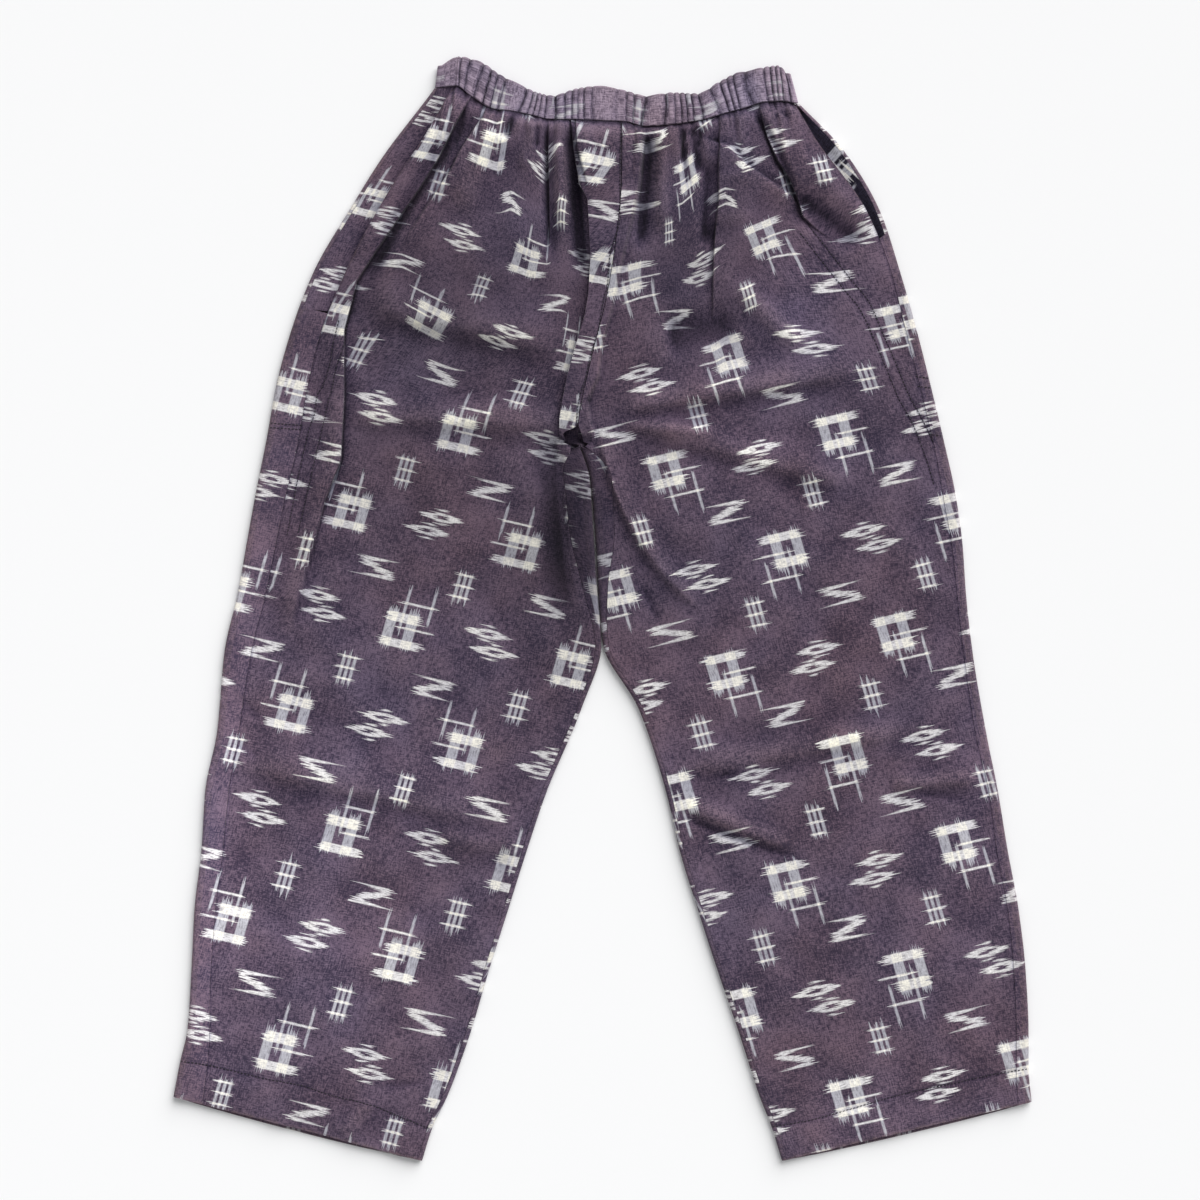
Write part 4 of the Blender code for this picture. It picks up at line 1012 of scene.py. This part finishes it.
# Stitching.  The sewn lines of each leg, as plan points from end to end.
SEWING = {
    "centre front": ("left", ((14.6, 406), (14.2, 358), (14.2, 326), (9.6, 308), (5.4, 292), (3.7, 269),
                              (1.2, 261), (-2.1, 243), (-3.7, 232), (-6.2, 225), (-11.2, 208), (-13.7, 196),
                              (-21.2, 168), (-22.1, 152))),
    "left pocket bag outer": ("left", ((-220, 241.7), (-225, 219.2), (-227.5, 203.3), (-233.3, 186.7),
                                       (-238.3, 178.3), (-240, 165), (-244.2, 152.5), (-246.7, 142.5),
                                       (-252, 120), (-258, 90), (-263.3, 61.7))),
    "left pocket bag inner": ("left", ((-212.5, 241.7), (-217.5, 216.7), (-222.5, 200), (-225, 185.8),
                                       (-228.3, 175), (-230.8, 163.3), (-233.3, 152.5), (-235.8, 142.5),
                                       (-241, 120), (-248, 90), (-254, 64))),
    "right pocket bag outer": ("right", ((170.8, 320.8), (192.5, 293.3), (207.5, 274.2), (220.8, 258.3),
                                         (233.3, 230.8), (244.2, 205.8), (254.2, 180.8), (264.2, 162.5),
                                         (275.8, 139.2))),
    "right pocket bag inner": ("right", ((164, 314), (185.5, 286.5), (200.5, 267.5), (213.5, 251.5),
                                         (226, 226), (236.5, 200.5), (246.5, 176.5), (257, 157.5),
                                         (268.8, 128), (276, 104))),
    "left tack 1": ("left", ((-277.5, 155.8), (-250.5, 154))),
    "left tack 2": ("left", ((-278, 152.2), (-251, 150.4))),
    "right tack 1": ("right", ((260, 194.8), (272, 193.2))),
    "right tack 2": ("right", ((261.5, 186.6), (274, 185))),
    "right tack 3": ("right", ((271, 146.6), (283, 145))),
    "left hem": ("left", ((-352.5, -375.8), (-330, -379.2), (-284.2, -390), (-250, -396.7), (-225, -405),
                          (-195.8, -411.7), (-173.3, -420.8), (-143.3, -432.5))),
    "right hem": ("right", ((140.8, -430.8), (170, -425.8), (198.3, -418.3), (250.8, -403.3), (289.2, -395),
                            (332.5, -385.8), (353.3, -382.5))),
}
STITCH_PITCH = 3.0 * MM
STITCH_LENGTH = 2.1 * MM
THREAD_LIFT = 0.45 * MM      # it bridges the bottom of its groove
THREAD = 0.40 * MM           # radius of the thread as shown


def stitches(name, material):
    """Short rounded dashes along every sewn line, lying on the cloth and dipping in at both ends."""
    paths = []
    for side, line in SEWING.values():
        x, y = np.array(line, dtype=float).T * MM
        close = np.linspace(0.0, len(x) - 1.0, 40 * len(x))
        curve_x = through(x, close)
        curve_y = through(y, close)
        run = np.concatenate([[0.0], np.cumsum(np.hypot(np.diff(curve_x), np.diff(curve_y)))])
        stops = np.arange(0.5 * STITCH_PITCH, run[-1], STITCH_PITCH)
        parts = []
        for shift in np.linspace(-0.5, 0.5, 5) * STITCH_LENGTH:
            at = stops + shift
            t, way_in = place_on_leg(side, np.interp(at, run, curve_x), np.interp(at, run, curve_y))
            on_x, on_y, on_z, _ = cloth_point(side, t, way_in)
            parts.append(grid(on_x, on_y, on_z + THREAD_LIFT))
        paths.append(np.stack(parts, axis=1))
    return dashes(name, np.concatenate(paths), material)


def dashes(name, path, material):
    """A six-sided rounded dash round each row of five path points."""
    along = path[:, -1] - path[:, 0]
    along /= np.linalg.norm(along, axis=1)[:, None]
    side_way = np.cross(along, (0.0, 0.0, 1.0))
    side_way /= np.linalg.norm(side_way, axis=1)[:, None]
    rise = np.cross(side_way, along)
    thick = THREAD * np.array([0.45, 0.9, 1.0, 0.9, 0.45])
    sink = THREAD * np.array([-0.35, 0.25, 0.45, 0.25, -0.35])
    angle = np.linspace(0.0, 2 * np.pi, 7)[:-1]
    ring = (path[:, :, None, :]
            + (np.cos(angle) * thick[:, None])[None, :, :, None] * side_way[:, None, None, :]
            + (np.sin(angle) * thick[:, None] + sink[:, None])[None, :, :, None] * rise[:, None, None, :])
    count, rings, sides = ring.shape[:3]
    index = np.arange(count * rings * sides).reshape(count, rings, sides)
    ahead = np.roll(index, -1, axis=2)
    quads = squares(index[:, :-1], ahead[:, :-1], ahead[:, 1:], index[:, 1:])
    first = index[:, 0]
    last = index[:, -1]
    faces = np.concatenate([quads, first[:, [3, 2, 1, 0]], first[:, [5, 4, 3, 0]],
                            last[:, [0, 1, 2, 3]], last[:, [0, 3, 4, 5]]])
    flat = ring.reshape(-1, 3)
    return make_mesh(name, flat, outwards(flat, faces), material, smooth_angle=None)


class Dye:
    """Short names for the shader nodes that the finishes are drawn with."""

    def __init__(self, tree):
        self.tree = tree

    def node(self, kind, **settings):
        """A new node with its settings."""
        made = self.tree.nodes.new(kind)
        for key, value in settings.items():
            setattr(made, key, value)
        return made

    def plug(self, socket, value):
        """Link an output to a socket, or set the socket to a plain value."""
        if isinstance(value, bpy.types.NodeSocket):
            self.tree.links.new(value, socket)
        else:
            socket.default_value = value

    def math(self, operation, *values, clamp=False):
        """The outcome of an operation on numbers."""
        made = self.node("ShaderNodeMath", operation=operation, use_clamp=clamp)
        for socket, value in zip(made.inputs, values):
            self.plug(socket, value)
        return made.outputs[0]

    def plus(self, *values, clamp=False):
        return self.math("ADD", *values, clamp=clamp)

    def minus(self, *values, clamp=False):
        return self.math("SUBTRACT", *values, clamp=clamp)

    def times(self, *values, clamp=False):
        return self.math("MULTIPLY", *values, clamp=clamp)

    def scaled(self, value, by, more, clamp=False):
        """value * by + more."""
        return self.math("MULTIPLY_ADD", value, by, more, clamp=clamp)

    def way(self, operation, *values):
        """The outcome of an operation on vectors."""
        made = self.node("ShaderNodeVectorMath", operation=operation)
        for socket, value in zip(made.inputs, values):
            self.plug(socket, value)
        return made.outputs["Vector"]

    def split(self, vector):
        made = self.node("ShaderNodeSeparateXYZ")
        self.plug(made.inputs[0], vector)
        return made.outputs[0], made.outputs[1]

    def join(self, x, y, z=0.0):
        made = self.node("ShaderNodeCombineXYZ")
        for socket, value in zip(made.inputs, (x, y, z)):
            self.plug(socket, value)
        return made.outputs[0]

    def noise(self, vector, scale=1.0, detail=2.0, rough=0.5):
        """Soft noise between 0 and 1."""
        made = self.node("ShaderNodeTexNoise", noise_dimensions="3D")
        self.plug(made.inputs["Vector"], vector)
        made.inputs["Scale"].default_value = scale
        made.inputs["Detail"].default_value = detail
        made.inputs["Roughness"].default_value = rough
        return made.outputs["Fac"]

    def streaks(self, u, v, by_u, by_v, layer=0.0, detail=1.0, rough=0.5):
        """Noise with its own fineness along u and along v."""
        return self.noise(self.join(self.times(u, by_u), self.times(v, by_v), layer), 1.0, detail, rough)

    def blend(self, share, first, second, kind="MIX"):
        """From the first colour to the second by a share."""
        made = self.node("ShaderNodeMix", data_type="RGBA", blend_type=kind)
        self.plug(made.inputs["Factor"], share)
        self.plug(made.inputs["A"], first)
        self.plug(made.inputs["B"], second)
        return made.outputs["Result"]

    def blend_value(self, share, first, second):
        """From the first number to the second by a share."""
        return self.scaled(self.minus(second, first), share, first)

    def stored(self, name):
        """The number that mark() stored under a name."""
        return self.node("ShaderNodeAttribute", attribute_name=name).outputs["Fac"]

    def bar(self, spot, left, right, top, bottom, soft):
        """1 inside a rectangle, with soft edges: the least of its two edge ramps."""
        centre = ((left + right) / 2, (top + bottom) / 2, 0.0)
        half = ((right - left) / 2, (bottom - top) / 2)
        off = self.way("ABSOLUTE", self.way("SUBTRACT", spot, centre))
        ramp = self.way("MULTIPLY_ADD", off, (-1 / soft, -1 / soft, 0.0),
                        (half[0] / soft + 0.5, half[1] / soft + 0.5, 1.0))
        x, y = self.split(ramp)
        return self.math("MINIMUM", x, y, clamp=True)

    def stroke(self, x, y, x0, x1, y0, y1, thick0, thick1, soft):
        """1 inside a tapering stroke: half width minus the height off its line, between its two ends."""
        run = self.scaled(x, 1 / (x1 - x0), -x0 / (x1 - x0))
        line = self.scaled(run, y1 - y0, y0)
        off = self.math("ABSOLUTE", self.minus(y, line))
        half = self.scaled(run, thick1 - thick0, thick0)
        inside = self.times(self.minus(half, off), 1 / soft, clamp=True)
        ends = self.minus(0.5, self.math("ABSOLUTE", self.minus(run, 0.5)))
        ends = self.times(ends, abs(x1 - x0) / 1.2, clamp=True)
        return self.times(inside, ends)

    def spindle(self, x, y, cx, cy, long, high, soft):
        """1 inside a pointed oval: high * (1 - (x/long)^2) minus the height off its middle."""
        off = self.times(self.minus(x, cx), 1 / long)
        bow = self.scaled(self.times(off, off), -high, high)
        away = self.math("ABSOLUTE", self.minus(y, cy))
        return self.times(self.minus(bow, away), 1 / soft, clamp=True)

    def all_of(self, masks):
        """1 inside any of the masks."""
        total = masks[0]
        for mask in masks[1:]:
            total = self.math("MAXIMUM", total, mask)
        return total


# The kasuri chart in millimetres: each motif's own point in the repeat, and from there the left, right, top
# and bottom of its bars, the middles of its spindles, and the ends, heights and half widths of its strokes.
BLOCK_PLACE = (36.7, -40.0)
HASH_PLACE = (0.0, 0.0)
ZIGZAG_PLACE = (0.0, -0.5 * REPEAT)
EYES_PLACE = (36.7, 47.5)
BLOCK_WARP = ((-16.5, -8.2, -22.2, 10.6), (0.6, 9.4, -22.2, 10.6), (-5.1, -2.8, -6.7, 29.5),
              (16.6, 18.9, 0.8, 31.5))
BLOCK_WEFT = ((-17.4, 16.2, -22.2, -15.2), (-16.2, 10.6, -0.7, 7.2), (-4.7, 22.6, -5.8, -4.2),
              (-6.0, 20.6, 15.3, 17.1))
HASH_WARP = ((-5.3, -2.7, -13.6, 12.4), (-0.7, 1.9, -13.6, 12.4), (3.9, 6.5, -13.6, 12.4))
HASH_WEFT = ((-6.8, 7.6, -9.8, -8.1), (-6.8, 7.6, -0.3, 1.6), (-6.8, 7.6, 9.3, 11.0))
EYES = ((-4.4, -6.4), (4.6, 7.6))
EYE_SIZE = (19.8, 4.4)
EYE_TICKS = ((-3.6, -13.0), (-4.6, -0.4), (5.4, 1.9), (3.8, 14.1))
TICK_SIZE = (6.2, 1.35)
ZIGZAG = ((-15.5, 19.5, -6.2, -8.2, 2.5, 0.3), (-13.5, 13.5, -4.2, 4.2, 3.0, 3.0),
          (-19.5, 15.5, 8.2, 6.2, 0.3, 2.5))


SOFT = 0.9                   # width of the motifs' soft edges
WARP_SLIP = 17.0             # how far single yarns have slipped, from least to most
WEFT_SLIP = 19.0
YARN = 0.62                  # from one yarn to the next
ACROSS = 0.95                # changes of tone for each millimetre across the yarn


def kasuri_chart():
    """Node group: from chart coordinates to where the warp and where the weft is left undyed.

    Each motif repeats at every column and REPEAT down it, half a REPEAT lower and mirrored in the next.
    """
    group = bpy.data.node_groups.new("kasuri_chart", "ShaderNodeTree")
    group.interface.new_socket("Place", in_out="INPUT", socket_type="NodeSocketVector")
    group.interface.new_socket("Warp", in_out="OUTPUT", socket_type="NodeSocketFloat")
    group.interface.new_socket("Weft", in_out="OUTPUT", socket_type="NodeSocketFloat")
    dye = Dye(group)
    place = dye.node("NodeGroupInput").outputs[0]
    u, v = dye.split(place)
    warp_end = dye.streaks(u, v, 1.45, 0.03, detail=0.0)
    weft_end = dye.streaks(u, v, 0.03, 1.45, 7.0, detail=0.0)
    slip_v = dye.scaled(warp_end, WARP_SLIP, -0.5 * WARP_SLIP)
    slip_u = dye.scaled(weft_end, WEFT_SLIP, -0.5 * WEFT_SLIP)

    def motif(u0, v0):
        """Coordinates about the nearest copy of a motif, for its warp bars and for its weft bars."""
        shifted = dye.minus(u, u0)
        column = dye.math("FLOOR", dye.scaled(shifted, 1 / COLUMN, 0.5))
        x = dye.scaled(column, -COLUMN, shifted)
        odd = dye.math("FLOORED_MODULO", column, 2.0)
        mirror = dye.scaled(odd, -2.0, 1.0)
        x = dye.times(x, mirror)
        fallen = dye.minus(v, v0)
        fallen = dye.scaled(column, -0.5 * REPEAT, fallen)
        turn = dye.math("FLOOR", dye.scaled(fallen, 1 / REPEAT, 0.5))
        y = dye.scaled(turn, -REPEAT, fallen)
        warp_spot = dye.join(x, dye.plus(y, slip_v))
        weft_x = dye.scaled(slip_u, mirror, x)
        return warp_spot, dye.join(weft_x, y), weft_x, y

    warp = []
    weft = []
    barred = ((BLOCK_PLACE, BLOCK_WARP, BLOCK_WEFT), (HASH_PLACE, HASH_WARP, HASH_WEFT))
    for place, warp_bars, weft_bars in barred:
        spot_warp, spot_weft, _, _ = motif(*place)
        warp += [dye.bar(spot_warp, *bar, SOFT) for bar in warp_bars]
        weft += [dye.bar(spot_weft, *bar, SOFT) for bar in weft_bars]
    _, _, x, y = motif(*ZIGZAG_PLACE)
    weft += [dye.stroke(x, y, *stroke, SOFT) for stroke in ZIGZAG]
    _, spot_weft, x, y = motif(*EYES_PLACE)
    weft += [dye.spindle(x, y, *middle, *TICK_SIZE, SOFT) for middle in EYE_TICKS]
    for cx, cy in EYES:
        lens = dye.spindle(x, y, cx, cy, *EYE_SIZE, SOFT)
        slit = dye.bar(spot_weft, cx - 5.0, cx + 5.0, cy - 1.6, cy + 1.6, 0.7)
        weft.append(dye.minus(lens, slit, clamp=True))
    result = dye.node("NodeGroupOutput")
    dye.plug(result.inputs["Warp"], dye.all_of(warp))
    dye.plug(result.inputs["Weft"], dye.all_of(weft))
    return group


KASURI = kasuri_chart()


def new_material(name, roughness):
    """A material with its shader and short names for its nodes."""
    material = bpy.data.materials.new(name)
    material.use_nodes = True
    shader = material.node_tree.nodes["Principled BSDF"]
    shader.inputs["Roughness"].default_value = roughness
    return material, shader, Dye(material.node_tree)


def put_relief(dye, shader, relief, strength, depth):
    """Raise the surface by a relief of so much depth."""
    bump = dye.node("ShaderNodeBump")
    bump.inputs["Strength"].default_value = strength
    bump.inputs["Distance"].default_value = depth
    dye.plug(bump.inputs["Height"], relief)
    dye.plug(shader.inputs["Normal"], bump.outputs["Normal"])


def kasuri_cotton(name, low, high, worn, warp_pale=(0.42, 0.415, 0.465), weft_pale=(0.68, 0.665, 0.68),
                  full=(0.84, 0.81, 0.735), gather=1.0, crease=0.5):
    """Plain-weave cotton dyed in the yarn.

    The ground runs between a low and a high tone yarn by yarn.  It is pale where the warp or the weft is
    undyed, and cream where both are.  Gather draws the yarns closer, and crease sets how strongly the troughs
    are painted with shade and the crests with highlight.
    """
    material, shader, dye = new_material(name, 0.95)
    shader.inputs["Specular IOR Level"].default_value = 0.15
    shader.inputs["Sheen Weight"].default_value = 0.06
    shader.inputs["Sheen Roughness"].default_value = 0.5
    chart = dye.node("ShaderNodeUVMap", uv_map="chart").outputs[0]
    spot = dye.way("MULTIPLY", chart, (1 / CHART_UNIT, 1 / CHART_UNIT, 0.0))
    u, v = dye.split(spot)
    drawn = dye.node("ShaderNodeGroup", node_tree=KASURI)
    dye.plug(drawn.inputs["Place"], spot)
    here = dye.node("ShaderNodeTexCoord").outputs["Object"]
    # Yarn by yarn: long streaks along the warp and along the weft, each with its own depth of dye
    warp_yarn = dye.streaks(u, v, ACROSS * gather, 0.20)
    weft_yarn = dye.streaks(u, v, 0.23 * gather, ACROSS, 3.0)
    slub = dye.streaks(u, v, ACROSS, ACROSS, 5.0, 2.0, 0.8)
    cloud = dye.noise(here, 24.0, 4.0, 0.6)
    yarn = dye.plus(warp_yarn, weft_yarn)
    heather = dye.scaled(yarn, 1.9, -1.42)
    heather = dye.plus(heather, dye.scaled(slub, 1.5, -0.75))
    heather = dye.plus(heather, dye.scaled(cloud, 1.9, -0.95), clamp=True)
    dark = dye.blend(heather, (*low, 1.0), (*high, 1.0))
    turned = dye.scaled(dye.noise(here, 7.0, 3.0, 0.6), 3.0, -1.0, clamp=True)
    tint = dye.blend(turned, (0.93, 0.965, 1.10, 1.0), (1.065, 0.965, 0.97, 1.0))
    dark = dye.blend(1.0, dark, tint, "MULTIPLY")
    # Paler and darker in the patches of wear and painted light (fade), painted shade in the troughs and
    # painted highlight on the crests (hollow), where the painted shade is a little bluer
    depth = dye.plus(1.0, dye.stored("fade"))
    depth = dye.plus(depth, dye.times(dye.stored("hollow"), -crease))
    # The undyed yarn: half tone where it crosses dyed yarn, cream where it crosses undyed yarn
    ragged = dye.scaled(slub, 1.3, 0.42, clamp=True)
    warp = dye.times(drawn.outputs["Warp"], dye.scaled(warp_yarn, 1.9, 0.05, clamp=True))
    weft = dye.times(drawn.outputs["Weft"], dye.scaled(weft_yarn, 2.1, -0.05, clamp=True))
    warp = dye.times(warp, ragged)
    weft = dye.times(weft, ragged)
    grain = dye.scaled(yarn, 0.5, 0.5)
    colour = dye.blend(warp, dark, (*warp_pale, 1.0))
    colour = dye.blend(weft, colour, (*weft_pale, 1.0))
    colour = dye.blend(dye.times(warp, weft), colour, (*full, 1.0))
    shade = dye.times(depth, dye.blend_value(dye.math("MAXIMUM", warp, weft), 1.0, grain))
    cool = dye.scaled(dye.stored("hollow"), 0.16, 1.0)
    colour = dye.blend(1.0, colour, dye.join(shade, shade, dye.times(shade, cool)), "MULTIPLY")
    # Rubbed edges
    rub = dye.times(dye.stored("wear"), dye.scaled(dye.noise(here, 260.0, 2.0), 1.6, -0.35, clamp=True))
    colour = dye.blend(dye.times(rub, 0.55), colour, (*worn, 1.0))
    dye.plug(shader.inputs["Base Color"], colour)
    # Weave: crossed ridges a yarn apart, with slubs
    pitch = 2 * np.pi / YARN
    ridge = dye.times(dye.math("SINE", dye.times(u, pitch * gather)), dye.math("SINE", dye.times(v, pitch)))
    relief = dye.scaled(ridge, 0.22, dye.times(slub, 1.6))
    put_relief(dye, shader, dye.plus(relief, dye.times(yarn, 0.35)), 0.6, 0.3 * MM)
    return material


def sewing_thread(name, colour):
    """Matt twisted thread: the colour varies along it, with a fine twist in relief."""
    material, shader, dye = new_material(name, 0.7)
    here = dye.node("ShaderNodeTexCoord").outputs["Object"]
    shade = dye.scaled(dye.noise(here, 900.0, 2.0), 0.9, 0.55)
    shaded = dye.blend(1.0, (*colour, 1.0), dye.join(shade, shade, shade), "MULTIPLY")
    dye.plug(shader.inputs["Base Color"], shaded)
    put_relief(dye, shader, dye.noise(here, 2600.0, 1.0), 0.4, 0.1 * MM)
    return material


# Lights: kind, place, size, strength and tint.  They shine at the origin.
LIGHTS = {
    "window": ("SUN", (1.05, 1.75, 1.38), 1.0, 3.62, (1.0, 0.995, 0.985)),
    "fill": ("AREA", (-0.6, -0.9, 2.6), 2.4, 6.0, (0.96, 0.98, 1.0)),
}
FLOOR_REACH = 3.0
FLOOR_DROP = 0.3 * MM        # the paper lies so far under the cloth
PHOTO_WIDTH = 1.0            # what the photo shows of the surface
PHOTO_MIDDLE = (-2.5 * MM, 8.33 * MM)
PHOTO_SCALE_AT = 6 * MM      # height at which that width is right
LENS = 100.0
SENSOR = 36.0


def studio():
    """Pale floor, soft light from above the waist and a camera straight overhead."""
    paper, _, dye = new_material("pale_paper", 0.9)
    dye.plug(paper.node_tree.nodes["Principled BSDF"].inputs["Base Color"], (0.90, 0.905, 0.915, 1.0))
    corners = np.array([(-1.0, -1.0, 0.0), (1.0, -1.0, 0.0), (1.0, 1.0, 0.0), (-1.0, 1.0, 0.0)]) * FLOOR_REACH
    corners[:, 2] = -FLOOR_DROP
    make_mesh("floor", corners, np.arange(4)[None, :], paper, smooth_angle=None)
    for name, (kind, place, size, power, tint) in LIGHTS.items():
        light = bpy.data.lights.new(name, kind)
        light.energy = power
        light.color = tint
        setattr(light, "angle" if kind == "SUN" else "size", size)
        lamp = new_object(name, light)
        lamp.location = place
        x, y, z = place
        lamp.rotation_euler = (float(np.arctan2(np.hypot(x, y), z)), 0.0, float(np.arctan2(x, -y)))
    world = bpy.data.worlds.new("studio")
    world.use_nodes = True
    background = world.node_tree.nodes["Background"]
    background.inputs["Color"].default_value = (1.0, 1.0, 1.0, 1.0)
    background.inputs["Strength"].default_value = 0.36
    scene = bpy.context.scene
    scene.world = world
    scene.view_settings.view_transform = "Standard"
    scene.view_settings.look = "None"
    camera = new_object("overhead", bpy.data.cameras.new("overhead"))
    camera.data.lens = LENS
    camera.data.sensor_width = SENSOR
    camera.data.clip_end = 50.0
    camera.location = (*PHOTO_MIDDLE, PHOTO_WIDTH * LENS / SENSOR + PHOTO_SCALE_AT)
    scene.camera = camera


def put_on(body, node):
    """Put a piece of cloth on the part in place of its solid."""
    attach(body, "root")
    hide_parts(node)


def dress():
    worn = (0.235, 0.165, 0.150)
    front_cotton = kasuri_cotton("kasuri_cotton", (0.038, 0.029, 0.050), (0.152, 0.110, 0.148), worn)
    # The back panel's cloth is a little paler: partly wear, partly painted highlight on its outer strips
    back_cotton = kasuri_cotton("kasuri_cotton_worn_and_highlit", (0.046, 0.036, 0.062), (0.168, 0.120, 0.158), worn)
    band_cotton = kasuri_cotton("kasuri_cotton_gathered", (0.120, 0.094, 0.130), (0.375, 0.308, 0.370),
                                (0.30, 0.24, 0.25), warp_pale=(0.40, 0.38, 0.43),
                                weft_pale=(0.48, 0.46, 0.50), full=(0.66, 0.63, 0.60),
                                gather=0.8, crease=0.75)
    # The cloth inside the right pocket is a near-black copy of the cotton: painted shade in the pocket
    # opening
    painted_pocket_shade = kasuri_cotton("kasuri_cotton_painted_shade", (0.010, 0.008, 0.015), (0.030, 0.026, 0.046), worn)
    thread = sewing_thread("dark_thread", (0.014, 0.011, 0.018))
    kinds = {
        "front": (front_panel, {"left": front_cotton, "right": front_cotton}, "front_panel", "kasuri_cotton"),
        "back": (back_panel, {"left": back_cotton, "right": back_cotton}, "back_panel", "kasuri_worn"),
        "pocket": (pocket_side, {"left": front_cotton, "right": painted_pocket_shade}, "pocket_side", "kasuri_unworn"),
    }
    for kind, side, width, length, area in CUT:
        make, cotton, node, slot = kinds[kind]
        body = make(side, cotton[side])
        put_on(body, f"{node}_{side}")
    for layer in ("front", "back"):
        body = band_half(layer, band_cotton)
        put_on(body, f"waistband_{layer}")
    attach(stitches("stitching", thread), "root")


# The cloth cut for what shows of each piece: widest, longest and area in metres and square metres.
CUT = (
    ("front", "left", 0.33, 0.90, 0.208),
    ("front", "right", 0.34, 0.90, 0.220),
    ("back", "left", 0.37, 0.91, 0.246),
    ("back", "right", 0.37, 0.91, 0.241),
    ("pocket", "left", 0.06, 0.22, 0.0066),
    ("pocket", "right", 0.045, 0.13, 0.0028),
)
dress()
studio()
